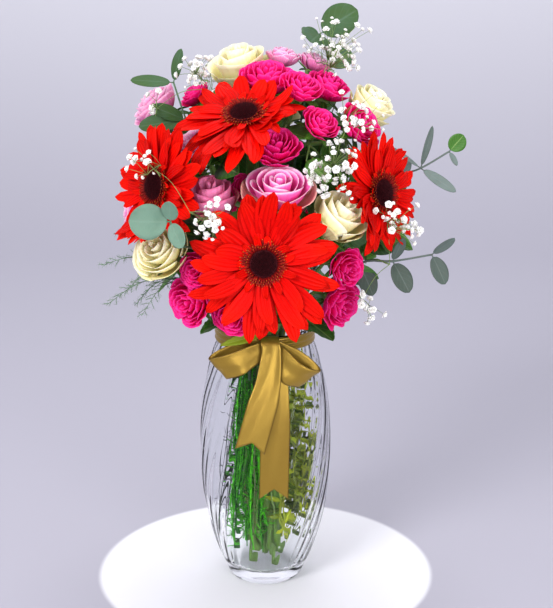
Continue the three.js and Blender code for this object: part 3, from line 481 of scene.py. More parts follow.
def leafFinish(name, own):
    look = {**leafDefaults, **own}
    finish, graph, shader, where = newFinish(name)
    along, across, tone = (graph.attribute(k) for k in ("along", "across", "tone"))
    side = across.calc("ABSOLUTE")
    cloud = graph.noise(where, 70.0, 4.0)
    fine = graph.noise(where, 700.0, 2.0)
    body = graph.blend(tone.step(0.0, 1.0), colour(look["dark"]), colour(look["light"]))
    body = graph.blend(cloud.step(0.35, 0.75) * 0.45, body, colour(look["patch"]))
    ribs = ((along * look["ribs"] - side * 2.2) * 2 * math.pi).calc("SINE").step(0.80, 1.0)
    middle = 1 - side.step(0.02, 0.10)
    lines = (ribs * 0.35 + middle).clip() * look["ribShare"]
    body = graph.blend(lines, body, colour(look["rib"]))
    bump = graph.bump(0.4, 0.0008, cloud + 0.4 * fine - lines)
    setShader(graph, shader, {
        "Base Color": body, "Roughness": look["rough"] + 0.15 * (fine - 0.5), "Normal": bump,
        "Specular IOR Level": look["gloss"], "Subsurface Weight": 0.05, "Subsurface Scale": 0.001})
    return finish


# Gerbera: its darker stripes are the petals' own streaks deepened with painted shade for their grooves, and
# its petals darken towards their bases partly as painted shade near the disc.
gerberaLook = {
    "along": [(0.0, "7c0201"), (0.14, "bc0402"), (0.4, "ea0602"), (0.8, "ff0a03"), (1.0, "f40802")],
    "veinAndGrooveShade": "8c0401", "veinsAndGrooveShade": 4.0, "veinAndGrooveShadeDepth": 0.36, "rim": "ff2404", "rimFrom": (0.55, 1.1),
    "rimShare": 0.35, "tone": "a00201", "toneShare": 0.5, "rough": 0.5, "sheen": 0.0, "glow": 0.05,
    "gloss": 0.06, "relief": 0.7,
}
rosePinks = {
    "hotPink": {
        "along": [(0.0, "d00050"), (0.35, "ee0264"), (0.7, "fc0a7a"), (1.0, "ff2e98")],
        "veinAndGrooveShade": "d8045c", "rim": "ff5cb4", "rimFrom": (0.88, 1.06), "rimShare": 0.4, "sheen": 0.0,
        "tone": "e60660", "toneShare": 0.45, "rough": 0.5, "gloss": 0.05,
    },
    "bicolour": {
        "along": [(0.0, "e01880"), (0.35, "f03ca4"), (0.75, "fa66c0"), (1.0, "fc92d4")],
        "veinAndGrooveShade": "e24aa0", "rim": "fff0f4", "rimFrom": (0.90, 0.99), "rimShare": 0.95, "rimSide": 0.09,
        "rimInner": 0.45, "gloss": 0.1, "tone": "dc3490", "toneShare": 0.35, "rough": 0.5,
        "guard": "e2a68a", "guardShare": 0.8,
    },
    "mauve": {
        "along": [(0.0, "cc5480"), (0.4, "f07ab0"), (0.8, "fc98ca"), (1.0, "e67aa6")], "gloss": 0.1,
        "veinAndGrooveShade": "c25a8a", "rim": "c0527a", "rimFrom": (0.93, 1.04), "rimShare": 0.8,
        "tone": "da7092", "toneShare": 0.4, "rough": 0.55, "guard": "c4726e", "guardShare": 0.8,
    },
    "palePink": {
        "along": [(0.0, "d2407f"), (0.4, "e770b2"), (0.8, "f296ca"), (1.0, "f8b6dc")],
        "veinAndGrooveShade": "e068a8", "rim": "fbdcea", "rimFrom": (0.88, 1.04), "rimShare": 0.6,
        "tone": "e46cac", "toneShare": 0.45, "rough": 0.52,
    },
    "cream": {
        "along": [(0.0, "c6c868"), (0.3, "ece398"), (0.7, "faf3c0"), (1.0, "fff8d8")],
        "veinAndGrooveShade": "ece6a8", "rim": "fdf8e4", "rimFrom": (0.85, 1.05), "rimShare": 0.6,
        "tone": "f0e2a6", "toneShare": 0.5, "rough": 0.52, "guard": "e0d694", "guardShare": 0.6,
    },
}
greenLooks = {
    "roseGreen": {"dark": "234b12", "light": "4c8528", "patch": "2f6418", "rib": "8fb060", "rough": 0.42},
    "gerberaGreen": {"dark": "3f6420", "light": "6f9838", "patch": "55802a", "rib": "8cae56", "rough": 0.5,
                     "ribShare": 0.15},
    "eucalyptusGreen": {"dark": "3d5a2c", "light": "6e8c7a", "patch": "4c6a58", "rib": "8aa393", "rough": 0.6,
                        "ribShare": 0.14, "ribs": 5.0, "gloss": 0.2},
    "eucalyptusGrey": {"dark": "39443a", "light": "7b8a86", "patch": "4c5a52", "rib": "8f9b95", "rough": 0.6,
                       "ribShare": 0.2, "ribs": 5.0, "gloss": 0.25},
    "brightFern": {"dark": "033c02", "light": "5ad81c", "patch": "0c7406", "rib": "4fae3a", "rough": 0.5,
                   "ribShare": 0.1, "gloss": 0.15},
    "paleFern": {"dark": "4f6d54", "light": "8ea58a", "patch": "6b876a", "rib": "9cb395", "rough": 0.6,
                 "ribShare": 0.1},
    "oliveGreen": {"dark": "2c4a06", "light": "b0be2a", "patch": "56720e", "rib": "b6bd5c", "rough": 0.5,
                   "ribShare": 0.3, "ribs": 5.0, "gloss": 0.2},
    "darkTwig": {"dark": "1c2420", "light": "3c4a3c", "patch": "2a3028", "rib": "3c4a3c", "rough": 0.7,
                 "ribShare": 0.1},
    "breathGreen": {"dark": "5d7a3e", "light": "8fa862", "patch": "76904e", "rib": "9ab06e", "rough": 0.6,
                    "ribShare": 0.1},
}
petalRed = petalFinish("gerberaRed", gerberaLook)
roseFinishes = {
    name: petalFinish("rose" + name[0].upper() + name[1:], look) for name, look in rosePinks.items()}
greens = {name: leafFinish(name, look) for name, look in greenLooks.items()}


def floretFinish(name, stops, rough):
    finish, graph, shader, where = newFinish(name)
    along, tone = graph.attribute("along"), graph.attribute("tone")
    cloud = graph.noise(where, 500.0, 3.0)
    body = graph.ramp(stops, along + 0.25 * (cloud - 0.5))
    body = graph.shade(tone * 0.4, body, colour("9a8a80"))
    bump = graph.bump(0.3, 0.0004, cloud)
    setShader(graph, shader, {
        "Base Color": body, "Roughness": rough + 0.1 * (cloud - 0.5), "Normal": bump,
        "Specular IOR Level": 0.15})
    return finish


discDark = floretFinish("gerberaDisc", [(0.0, "38060f"), (0.2, "6a101e"), (1.0, "8a2836")], 0.75)
discFringe = floretFinish(
    "gerberaFringe", [(0.0, "2a0402"), (0.7, "7e0603"), (0.92, "a01005"), (1.0, "e89a34")], 0.6)
breathWhite = floretFinish("breathWhite", [(0.0, "cfd6b8"), (0.3, "f4f3ec"), (1.0, "ffffff")], 0.6)


# Surfaces of petals and leaves
def rayShape(graph, u, v):
    length, turn, root, rise, lift = (graph.stored(k) for k in ("length", "turn", "base", "rise", "lift"))
    width, sway, twist, tip = (graph.stored(k) for k in ("width", "sway", "twist", "tip"))
    reach = 7.0 + (length - 7.0) * v
    half = width * 0.5 * (0.42 + 0.58 * v.step(-0.1, 0.62)) * (1.002 - v ** 7) ** 0.62
    aside = u * half
    ridge = (u * 3 * math.pi).calc("COSINE") * 0.42 * (1.1 - v)
    height = root + rise * v + lift * v * v + tip * v ** 4 + ridge + 0.14 * half * u * u + aside * twist * v
    around = turn + sway * v * v
    c, s = around.calc("COSINE"), around.calc("SINE")
    return graph.place(reach * c - aside * s, reach * s + aside * c, height)


def roseShape(graph, u, v):
    turn, rim, top, base = (graph.stored(k) for k in ("turn", "rim", "top", "base"))
    half, curl, ruffle, phase = (graph.stored(k) for k in ("half", "curl", "ruffle", "phase"))
    inner = graph.stored("inner")
    u2 = u * u
    ve = v * (1 - 0.08 * u2 - 0.20 * u2 * u2)
    reach = inner + (rim - inner) * (1 - (1.0001 - ve) ** 2.3)
    height = base + (top - base) * ve ** 1.25
    roll = ((ve - 0.68) / 0.32).clip() ** 2
    wave = (u * 4.6 + phase).calc("SINE") * ve ** 3 * ruffle
    wave2 = (u * 6.1 + phase * 1.7).calc("COSINE") * ve ** 4 * ruffle
    reach = (reach + curl * roll * (0.6 + 0.9 * u2) + wave) * (1 + 0.05 * u)
    height = height - 0.55 * curl * roll * (0.5 + u2) + 0.6 * wave2
    around = turn + u * half * (0.30 + 0.70 * ve ** 0.7)
    return graph.place(reach * around.calc("SINE"), -1 * reach * around.calc("COSINE"), height)


def leafShape(graph, u, v):
    root, way, side = (graph.stored(k, "FLOAT_VECTOR") for k in ("root", "way", "side"))
    length, width, bend, cup = (graph.stored(k) for k in ("length", "width", "bend", "cup"))
    form, tooth, blunt = graph.stored("form"), graph.stored("tooth"), graph.stored("blunt")
    saw = (v * 11.0).calc("FRACT") - 0.5
    bulge = (v ** form * math.pi).calc("SINE").calc("ABSOLUTE") ** blunt + 0.03
    half = width * 0.5 * bulge * (1 + tooth * saw)
    face = graph.crossed(way, side)
    wave = tooth * half * 0.4 * (v * 34.0).calc("SINE") * u.calc("ABSOLUTE")
    rise = bend * length * v * v + cup * half * u * u + wave
    steps = (graph.scaled(way, length * v), graph.scaled(side, u * half), graph.scaled(face, rise))
    return graph.summed(root, *steps)


rayTree = surfaceTree("rayPetals", 7, 15, rayShape)
roseTree = surfaceTree("rosePetals", 9, 9, roseShape)
leafTree = surfaceTree("leaves", 5, 12, leafShape)
tubes = tubeTree()
needles = needleTree()


def twigMesh(name, lines, finish, sides, pick=None):
    # lines of (points, thickness at each point); with a pick every line gets a tone of its own
    points, edges, thick, tone = [], [], [], []
    for line, radii in lines:
        tone += [pick.random() if pick else 0.35] * len(line)
        start = len(points)
        points += line
        edges += [(start + i, start + i + 1) for i in range(len(line) - 1)]
        thick += [radii[round(i * (len(radii) - 1) / max(len(line) - 1, 1))] for i in range(len(line))]
    return grow(name, tubes, points, {"thick": thick, "tone": tone},
                {"Sides": sides, "Finish": finish}, edges)


def leafRow(root, way, upper, length, width, tone, bend, cup, form, tooth=0.0, blunt=0.8):
    side = upper.cross(way).normalized()
    return {"root": root, "way": way.normalized(), "side": side, "length": length, "width": width,
            "bend": bend, "cup": cup, "form": form, "tooth": tooth, "blunt": blunt, "tone": tone}


def leafMesh(name, rows, finish, across, along, wall):
    return grow(name, leafTree, [row["root"] for row in rows], columns(rows),
                {"Across": across, "Along": along, "Finish": finish}, wall=wall)


def needleMesh(name, rows, finish, sides=3):
    # rows of (middle, direction, length, thickness, tone)
    numbers = {"way": [r[1].normalized() for r in rows], "length": [r[2] for r in rows],
               "thick": [r[3] for r in rows], "tone": [r[4] for r in rows]}
    return grow(name, needles, [r[0] for r in rows], numbers, {"Sides": sides, "Finish": finish})


# Camera, light and floor
stageLook = {
    "lens": 94.74, "at": (0.0098, -1.303, 0.6356), "down": 16.6,
    "floor": "efeef4", "wall": "9d99a9", "wallTop": "f8f8ff", "pool": (0.144, 0.150),
    "sky": (0.93, 0.94, 1.0, 1), "skyStrength": 0.62,
    "front": -2.5, "bendAt": 1.1, "bend": 0.9, "top": 3.2, "half": 4.0, "lowered": 0.0002,
}
# Each light: where it stands, what it points at, how wide it is in metres, and its power in watts.
lights = {
    "keyLight": ((-1.1, -1.7, 1.5), (0, 0, 0.35), 0.9, 37),
    "fillLight": ((0.9, -1.9, 0.5), (0, 0, 0.3), 1.3, 26),
    "topLight": ((0.1, 0.5, 1.9), (0, 0, 0.3), 1.0, 13),
}
camera = linked("camera", bpy.data.cameras.new("camera"))
camera.data.lens = stageLook["lens"]
camera.data.sensor_width = 36.0
camera.location = stageLook["at"]
camera.rotation_euler = (math.radians(90 - stageLook["down"]), 0, 0)
scene.camera = camera
scene.view_settings.view_transform = "Standard"


def makeStage():
    # a floor that rises into a backdrop in one sweep
    start, bend, half = stageLook["bendAt"], stageLook["bend"], stageLook["half"]
    profile = [(stageLook["front"], 0.0), (0.6, 0.0), (start, 0.0)]
    for k in range(1, 13):
        turn = math.radians(90 * k / 12)
        profile.append((start + bend * math.sin(turn), bend * (1 - math.cos(turn))))
    profile.append((start + bend, stageLook["top"]))
    verts = [(x, y, z - stageLook["lowered"]) for y, z in profile for x in (-half, half)]
    faces = [(2 * i, 2 * i + 1, 2 * i + 3, 2 * i + 2) for i in range(len(profile) - 1)]
    finish, graph, shader, where = newFinish("sweepPaper")
    x, y, z = graph.parts(where)
    away = (x * x + y * y) ** 0.5
    paper = graph.blend(z.step(-0.4, 1.0), colour(stageLook["wall"]), colour(stageLook["wallTop"]))
    paper = graph.blend(away.step(*stageLook["pool"]), colour(stageLook["floor"]), paper)
    setShader(graph, shader, {"Base Color": paper, "Roughness": 0.8})
    sweep = linked("sweep", plainMesh("sweep", verts, faces, finish))


def softLight(name, at, aim, size, power):
    lamp = bpy.data.lights.new(name, "AREA")
    lamp.shape = "DISK"
    lamp.size = size
    lamp.energy = power
    light = linked(name, lamp)
    light.location = at
    light.rotation_euler = (Vector(aim) - Vector(at)).to_track_quat("-Z", "Y").to_euler()


makeStage()
for name, values in lights.items():
    softLight(name, *values)
world = bpy.data.worlds.new("studio")
world.use_nodes = True
sky = world.node_tree.nodes["Background"].inputs
sky["Color"].default_value = stageLook["sky"]
sky["Strength"].default_value = stageLook["skyStrength"]
scene.world = world
print("stage ready")


# Roses
# Each rose: its place round the heart, its radius, the way that it faces, its kind and its finish.
roseTable = {
    "rose_bicolour": ((7, 19, 102), 19.5, (5, 69), "rimmed", "bicolour"),
    "rose_hot_upper": ((7, 41, 94), 17.5, (7, 60), "full", "hotPink"),
    "rose_cream_top": ((-128, 77, 115), 18.5, (-50, 72), "tallOpen", "cream"),
    "rose_cream_right_top": ((94, 43, 120), 15, (72, 54), "tallOpen", "cream"),
    "rose_cream_middle": ((34, 5, 106), 17, (60, 52), "tallOpen", "cream"),
    "rose_cream_left": ((-45, -9, 117), 19.5, (-40, 34), "guarded", "cream"),
    "rose_mauve": ((-26, 14, 96), 16, (-20, 68), "tall", "mauve"),
    "rose_dark_pink": ((-11, 22, 80), 10, (-8, 40), "full", "hotPink"),
    "rose_pale_left": ((-94, 42, 122), 18, (-90, 45), "open", "palePink"),
    "rose_pink_left": ((-50, 38, 96), 12, (-50, 45), "full", "palePink"),
    "spray_top_1": ((4, 80, 110), 18.5, (4, 72), "full", "hotPink"),
    "spray_top_2": ((38, 65, 114), 14.5, (35, 60), "full", "hotPink"),
    "spray_top_3": ((84, 62, 112), 16, (60, 62), "full", "hotPink"),
    "spray_top_4": ((38, 47, 106), 13, (38, 48), "full", "hotPink"),
    "spray_top_5": ((60, 40, 116), 16, (54, 36), "full", "hotPink"),
    "spray_left_1": ((-30, -17, 110), 13.5, (-32, 4), "full", "hotPink"),
    "spray_left_2": ((-38, -33, 116), 17, (-38, -6), "full", "hotPink"),
    "spray_left_3": ((-20, -46, 106), 15.5, (-18, -8), "full", "hotPink"),
    "spray_right_1": ((40, -19, 108), 14, (40, 0), "full", "hotPink"),
    "spray_right_2": ((51, -42, 108), 17, (46, -8), "full", "hotPink"),
    "spray_back_1": ((144, 78, 122), 12.5, (120, 80), "full", "palePink"),
    "spray_back_2": ((118, 68, 124), 11.5, (110, 66), "full", "palePink"),
    "spray_back_3": ((-88, 58, 108), 11, (-84, 50), "full", "hotPink"),
    "rose_cream_back": ((175, 36, 110), 21, (175, 40), "open", "cream"),
    "rose_pink_back": ((-136, 20, 108), 21, (-136, 26), "open", "bicolour"),
    "rose_cream_low_back": ((122, 2, 108), 20, (122, 14), "open", "cream"),
    "rose_side_left": ((-98, -4, 108), 20, (-98, 10), "open", "bicolour"),
    "spray_low_back_1": ((158, -22, 108), 16, (156, -2), "full", "hotPink"),
    "spray_low_back_2": ((-166, -10, 110), 15, (-164, 4), "full", "hotPink"),
}
# Each kind: its petals, its heart's, rim's and underside's heights as shares of the radius, the petals' half
# angle in degrees from the heart out, the curl and ruffle, the guard petals, the share of the radius that is
# kept clear, and the places across a petal.
roseKinds = {
    "full": {"petals": 32, "heart": 0.50, "rim": 0.10, "under": 0.60, "wide": (46, 38), "curl": 0.13,
             "ruffle": 0.055, "guards": 0, "clear": 1.0, "across": 9},
    "open": {"petals": 22, "heart": 0.52, "rim": 0.10, "under": 0.70, "wide": (76, 60), "curl": 0.15,
             "ruffle": 0.03, "guards": 0, "clear": 1.02, "across": 11},
    "guarded": {"petals": 14, "heart": 0.52, "rim": 0.14, "under": 0.70, "wide": (104, 78), "curl": 0.13,
                "ruffle": 0.02, "guards": 4, "clear": 1.16, "across": 13},
    "rimmed": {"petals": 13, "heart": 0.48, "rim": 0.30, "under": 0.74, "wide": (118, 66), "curl": 0.17,
               "ruffle": 0.02, "guards": 6, "guardReach": 1.1, "guardFront": 0.5, "clear": 1.44,
               "across": 15},
    "tall": {"petals": 9, "heart": 0.86, "rim": 0.48, "under": 1.0, "wide": (130, 96), "curl": 0.10,
             "ruffle": 0.012, "guards": 3, "clear": 1.05, "across": 15},
    "tallOpen": {"petals": 10, "heart": 0.80, "rim": 0.36, "under": 1.0, "wide": (136, 96), "curl": 0.19,
                 "ruffle": 0.01, "guards": 3, "clear": 1.16, "across": 15},
}
roseSlots = {
    "hotPink": "hot_pink_petals", "bicolour": "bicolour_petals", "mauve": "mauve_petals",
    "palePink": "pale_pink_petals", "cream": "cream_petals",
}
bloomSwell = 1.22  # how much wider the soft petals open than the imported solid
goldenTurn = math.radians(137.508)
# How thick the petals and leaves are.
walls = {"rosePetal": 0.28, "rayPetal": 0.4, "fringe": 0.2, "leaf": 0.4, "floret": 0.18, "smallLeaf": 0.25}
bloomMeshes = []
taken = []  # balls that later petals keep clear of, each a middle and a radius


def isClear(points, margin):
    if not taken:
        return True
    balls = np.array([(*at, reach) for at, reach in taken])
    spots = np.array([tuple(p) for p in points])
    gaps = np.linalg.norm(spots[:, None, :] - balls[None, :, :3], axis=2) - balls[None, :, 3]
    return bool((gaps > margin).all())


def stepped(points, step):
    walked = [points[0].copy()]
    for a, b in zip(points, points[1:]):
        count = max(1, math.ceil((b - a).length / step))
        walked += [a.lerp(b, k / count) for k in range(1, count + 1)]
    return walked


def makeRose(name, number):
    place, ownRadius, faces, kindName, finishName = roseTable[name]
    radius = ownRadius * bloomSwell
    kind = roseKinds[kindName]
    pick = random.Random(100 + number)
    low, high = kind["wide"]
    rows = []
    for i in range(kind["petals"]):
        t = i / (kind["petals"] - 1)
        fall = (kind["heart"] - kind["rim"]) * t ** 1.5
        rows.append({
            "turn": i * goldenTurn + pick.uniform(-0.25, 0.25) + number,
            "rim": radius * (0.10 + 0.88 * t ** 0.8),
            "top": radius * (kind["heart"] - fall + pick.uniform(-0.03, 0.03)),
            "base": -radius * kind["under"] * (0.75 + 0.2 * t),
            "inner": radius * (0.03 + 0.10 * t),
            "half": math.radians(low + (high - low) * t) * pick.uniform(0.92, 1.08),
            "curl": radius * kind["curl"] * t ** 1.5 * pick.uniform(0.6, 1.4),
            "ruffle": radius * kind["ruffle"] * (0.3 + 0.7 * t), "phase": pick.uniform(0, 6.28),
            "tone": pick.random() * (0.4 + 0.6 * t), "guard": 0.0})
    for i in range(kind["guards"]):
        turn = 2 * math.pi * (i + 0.3) / kind["guards"] + number
        if math.cos(turn) > kind.get("guardFront", 1):
            continue
        rows.append({
            "turn": turn,
            "rim": radius * pick.uniform(1.0, 1.08) * kind.get("guardReach", 1),
            "top": radius * pick.uniform(-0.05, 0.10), "base": -radius * kind["under"] * 0.96,
            "inner": radius * 0.16, "half": math.radians(52) * pick.uniform(0.9, 1.1),
            "curl": radius * 0.16, "ruffle": radius * 0.03, "phase": pick.uniform(0, 6.28),
            "tone": pick.random(), "guard": 1.0})
    values = {"Across": kind["across"], "Along": 9, "Finish": roseFinishes[finishName]}
    mesh = grow(name, roseTree, [(0, 0, 0)] * len(rows), columns(rows), values, wall=walls["rosePetal"])
    mesh.transform(standMatrix(placeAt(*place), towards(*faces)))
    taken.append((placeAt(*place), max(ownRadius * kind["clear"], 0.96 * radius)))
    bloomMeshes.append(mesh)
    finishPiece(name + "_petals", [mesh.copy()], roseSlots[finishName], name)


makeEach(roseTable, makeRose, "roses")


# Gerberas
gerberas = {
    "gerbera_front": {"place": (0, -9, 124), "faces": (0, 14), "radius": 56, "slot": 10, "tip": 30,
                      "longer": 0.16, "wider": 0.14},
    "gerbera_right": {"place": (51.6, 12, 120), "faces": (50, 12), "radius": 51, "slot": 100, "tip": 27,
                      "crowd": 1.25},
    "gerbera_left": {"place": (-46.5, 15.4, 120), "faces": (-50, 10), "radius": 53, "slot": -85, "tip": 34,
                     "crowd": 1.2},
    "gerbera_top": {"place": (-13.5, 52.4, 108), "faces": (-15, 62), "radius": 53, "slot": -17, "tip": 29,
                    "mostLift": 9, "longer": 0.24},
}
# Rows of ray petals from the back to the front: count, reach, height at the root, rise, shift and width.
rayRows = [
    (17, 1.0, -2.6, 0.5, 0.0, 14.2), (9, 0.86, -1.1, 4.5, 0.5, 13.4),
    (14, 0.95, -1.9, 1.6, 0.5, 13.6), (7, 0.76, -0.4, 5.4, 0.1, 11.5), (11, 0.43, 0.2, 5.0, 0.3, 6.2),
]
# What a petal may do to keep clear of the blooms that stand already: be shorter, or be lifted at its tip.
petalShares = (1.0, 0.88, 0.77, 0.66, 0.56)
petalLifts = (0, 4, 8, 12, 17, 22, 28, -5, -10)
# The disc: its radius, its florets, the bed under them, and the rings of fringe florets with light tips.
# Each ring: radius, count, length, rise and width.
discLook = {
    "radius": 9.6, "florets": 260,
    "bed": [(0, 0.85), (10, 0.85), (12.4, 2.2), (9.6, 3.4), (5, 4.4), (0, 4.8)],
    "fringe": [(9.6, 40, 5.4, 1.2, 1.5), (10.4, 46, 6.6, 0.75, 1.7), (11.0, 50, 7.4, 0.42, 1.9)],
}
# The stem: how thick it is, its cup's outline, and the cup's rings of bracts: radius, height and length.
stalkLook = {
    "thick": 3.0, "cup": [(0, -5.3), (10.4, -5.3), (10.9, -6.2), (8.6, -9.6), (4.4, -14.2), (0, -14.4)],
    "bracts": [(8.2, -11.6, 8.5), (6.0, -13.6, 8.5)], "bractsEach": 16,
}
# The bunch of stems runs straight from the neck up to the mouth. Below the neck it spreads and turns.
bunchLook = {"neck": 196, "mouth": 228, "spread": 0.35, "turn": 35, "gerberaRing": 14.1}


def petalLine(length, around, root, rise, lift, side, placed):
    stations = [(0.44, 0.35, 0.42), (0.8, 0.75, 0.5), (1.0, 1.0, 0.0)]
    line = []
    for out, share, half in stations:
        spot = Vector((out * length, side * half * 10.8, root + rise * share + lift * share * share))
        line.append(placed @ (Matrix.Rotation(around, 4, "Z") @ spot))
    return line


def freePetal(head, length, around, root, rise, placed):
    # the first lift, or else the first shorter petal, that keeps clear of the blooms that stand already
    for share in petalShares:
        for lift in petalLifts:
            if lift > head.get("mostLift", 28):
                continue
            lines = [petalLine(share * length, around, root, rise, lift, side, placed) for side in (-1, 0, 1)]
            if all(isClear(stepped(line, 5), 2) for line in lines):
                return share * length, lift
    return 0.5 * length, 4


def makeRays(name, number, placed, pick):
    head = gerberas[name]
    draw = draws(41 + number)
    rows, lines = [], []
    for rank, (count, reach, root, rise, shift, width) in enumerate(rayRows):
        chance = draw if rank < 2 else pick.random
        count = round(count * head.get("crowd", 1))
        for i in range(count):
            length = head["radius"] * reach * (0.93 + 0.09 * chance())
            around = 2 * math.pi * (i + shift + 0.24 * (chance() - 0.5)) / count + number
            length *= 1 + head.get("longer", 0) * max(0, -math.sin(around))
            length *= 1 + head.get("wider", 0) * max(0, math.cos(around))
            lift = 0
            if reach > 0.6:
                length, lift = freePetal(head, length, around, root, rise, placed)
            rows.append({
                "length": length * pick.uniform(0.9, 1.04), "turn": around,
                "base": root + pick.uniform(-0.4, 0.5), "rise": rise,
                "lift": lift + pick.uniform(-1.5, 2.0),
                "width": width * pick.uniform(0.8, 1.12) / head.get("crowd", 1) ** 1.3,
                "sway": pick.uniform(-0.18, 0.18), "twist": pick.uniform(-0.5, 0.5),
                "tip": pick.uniform(-6.5, 4.0), "tone": pick.random()})
            if rank < 2:
                lines.append(petalLine(length, around, root, rise, lift, 0, placed))
    petals = grow(name, rayTree, [(0, 0, 0)] * len(rows), columns(rows),
                  {"Across": 7, "Along": 15, "Finish": petalRed}, wall=walls["rayPetal"])
    petals.transform(placed)
    for line in lines:
        taken.extend((spot, 3.4) for spot in stepped(line, 4))
    bloomMeshes.append(petals)
    finishPiece(name + "_rays", [petals.copy()], "gerbera_petals", name + "_petals")


def makeDisc(name, placed, pick):
    florets, fringe = [], []
    wide = discLook["radius"]
    for i in range(discLook["florets"]):
        out = wide * math.sqrt((i + 0.5) / discLook["florets"])
        c, s = math.cos(i * goldenTurn), math.sin(i * goldenTurn)
        root = Vector((out * c, out * s, 3.0 + 1.6 * (1 - (out / wide) ** 2)))
        way = Vector((0.5 * c * out / wide, 0.5 * s * out / wide, 1)).normalized()
        florets.append((root, way, 1.9 + 0.5 * pick.random(), 0.62, pick.random()))
    for ring, (out, count, length, rise, width) in enumerate(discLook["fringe"]):
        for i in range(count):
            spoke = spokeAt(2 * math.pi * (i + 0.4 * pick.random() + 0.33 * ring) / count)
            way = (spoke + upBy(rise * pick.uniform(0.8, 1.2))).normalized()
            upper = (upBy(1) - 0.4 * spoke).normalized()
            own = length * pick.uniform(0.8, 1.15)
            fringe.append(leafRow(spoke * out + upBy(1.6), way, upper, own, width, 0.4 * pick.random(),
                                  bend=-0.12, cup=0.5, form=1.3))
    meshes = [latheMesh(name + "Bed", discLook["bed"], 32, discDark),
              needleMesh(name + "Florets", florets, discDark, sides=5),
              leafMesh(name + "Fringe", fringe, discFringe, 3, 6, walls["fringe"])]
    for mesh in meshes:
        mesh.transform(placed)
    finishPiece(name + "_florets", meshes, "gerbera_disc", name + "_disc")


def makeStalk(name, placed, pick):
    head = gerberas[name]
    at, facing = placeAt(*head["place"]), towards(*head["faces"])
    finish = greens["gerberaGreen"]
    route = stemRoute(bunchLook["gerberaRing"], head["slot"], head["tip"], at - 12 * facing, facing)
    stem = twigMesh(name + "Stem", [(smoothPath(route, 7), [stalkLook["thick"]])], finish, 10)
    cup = latheMesh(name + "Cup", stalkLook["cup"], 24, finish,
                    lambda around, radius, _: radius * (1 + 0.04 * math.cos(12 * around)))
    bracts = []
    for ring, (out, drop, length) in enumerate(stalkLook["bracts"]):
        for i in range(stalkLook["bractsEach"]):
            spoke = spokeAt(2 * math.pi * (i + 0.5 * ring) / stalkLook["bractsEach"])
            way = (0.55 * spoke + upBy(1)).normalized()
            bracts.append(leafRow(spoke * out + upBy(drop), way, spoke, length, 3.4, pick.random(),
                                  bend=0.02, cup=-0.4, form=0.7))
    scales = leafMesh(name + "Bracts", bracts, finish, 3, 6, walls["leaf"])
    cup.transform(placed)
    scales.transform(placed)
    finishPiece(name + "_stalk", [stem, cup, scales], "gerbera_stem", name + "_stem")


def makeGerbera(name, number):
    placed = standMatrix(placeAt(*gerberas[name]["place"]), towards(*gerberas[name]["faces"]))
    pick = random.Random(200 + number)
    makeRays(name, number, placed, pick)
    makeDisc(name, placed, pick)
    makeStalk(name, placed, pick)


def slotAt(radius, bearing, height):
    below = max(0.0, (bunchLook["neck"] - height) / bunchLook["neck"])
    spread = radius * (1 + bunchLook["spread"] * below)
    turned = math.radians(bearing + bunchLook["turn"] * below)
    return Vector((math.sin(turned) * spread, -math.cos(turned) * spread, height))


def bowed(low, high):
    middle = low.lerp(high, 0.5)
    return Vector((middle.x * 0.85, middle.y * 0.85, middle.z))


def stemRoute(radius, bearing, tip, end, facing):
    top = slotAt(radius, bearing, bunchLook["mouth"])
    approach = end - 16 * facing
    below = [slotAt(radius, bearing, h) for h in (tip, 110, bunchLook["neck"])]
    return [*below, top, bowed(top, approach), approach, end]


def twigThrough(slot, bearing, low, way):
    outer = [placeAt(*place) for place in way]
    top = slotAt(slot, bearing, bunchLook["mouth"])
    heights = (low, bunchLook["neck"]) if low > 170 else (low, 165, bunchLook["neck"])
    return [*[slotAt(slot, bearing, h) for h in heights], top, bowed(top, outer[0]), *outer]


makeEach(gerberas, makeGerbera, "gerberas")


def bloomTree():
    verts, faces = [], []
    for mesh in bloomMeshes:
        start = len(verts)
        verts += [v.co.copy() for v in mesh.vertices]
        faces += [[start + i for i in p.vertices] for p in mesh.polygons]
    return BVHTree.FromPolygons(verts, faces)


blooms = bloomTree()


def isFree(at, margin):
    found = blooms.find_nearest(at, margin)
    return found[0] is None


# Rose stems, cups, sepals and leaves
# Each stem: its slot in the bunch, its cut end's height, its fork if it has one, and its blooms.
roseStems = [
    ((0, 0), 16, None, ["rose_bicolour"]),
    ((4.4, 60), 18, (30, 62, 62), [
        "spray_top_1", "spray_top_2", "spray_top_3", "spray_top_4", "spray_top_5"]),
    ((4.4, 120), 20, (150, 70, 60), ["spray_back_1", "spray_back_2", "spray_back_3"]),
    ((4.4, 180), 15, None, ["rose_cream_top"]),
    ((4.4, 240), 24, None, ["rose_pale_left"]),
    ((4.4, 300), 21, None, ["rose_mauve"]),
    ((8.7, -50), 30, (-34, -71, 92), ["spray_left_1", "spray_left_2", "spray_left_3"]),
    ((8.7, -20), 26, None, ["rose_pink_left"]),
    ((8.7, 10), 10.35, (5, 20, 60), ["rose_hot_upper", "rose_dark_pink"]),
    ((8.7, 40), 20, None, ["rose_cream_middle"]),
    ((8.7, 70), 33, (48, -71, 92), ["spray_right_1", "spray_right_2"]),
    ((8.7, 100), 18, None, ["rose_cream_right_top"]),
    ((8.7, 130), 10.35, None, ["rose_cream_low_back"]),
    ((8.7, 160), 25, (172, -66, 86), ["spray_low_back_1", "spray_low_back_2"]),
    ((8.7, 190), 17, None, ["rose_cream_back"]),
    ((8.7, 220), 28, None, ["rose_pink_back"]),
    ((8.7, 250), 10.35, None, ["rose_side_left"]),
    ((8.7, 280), 23, None, ["rose_cream_left"]),
]
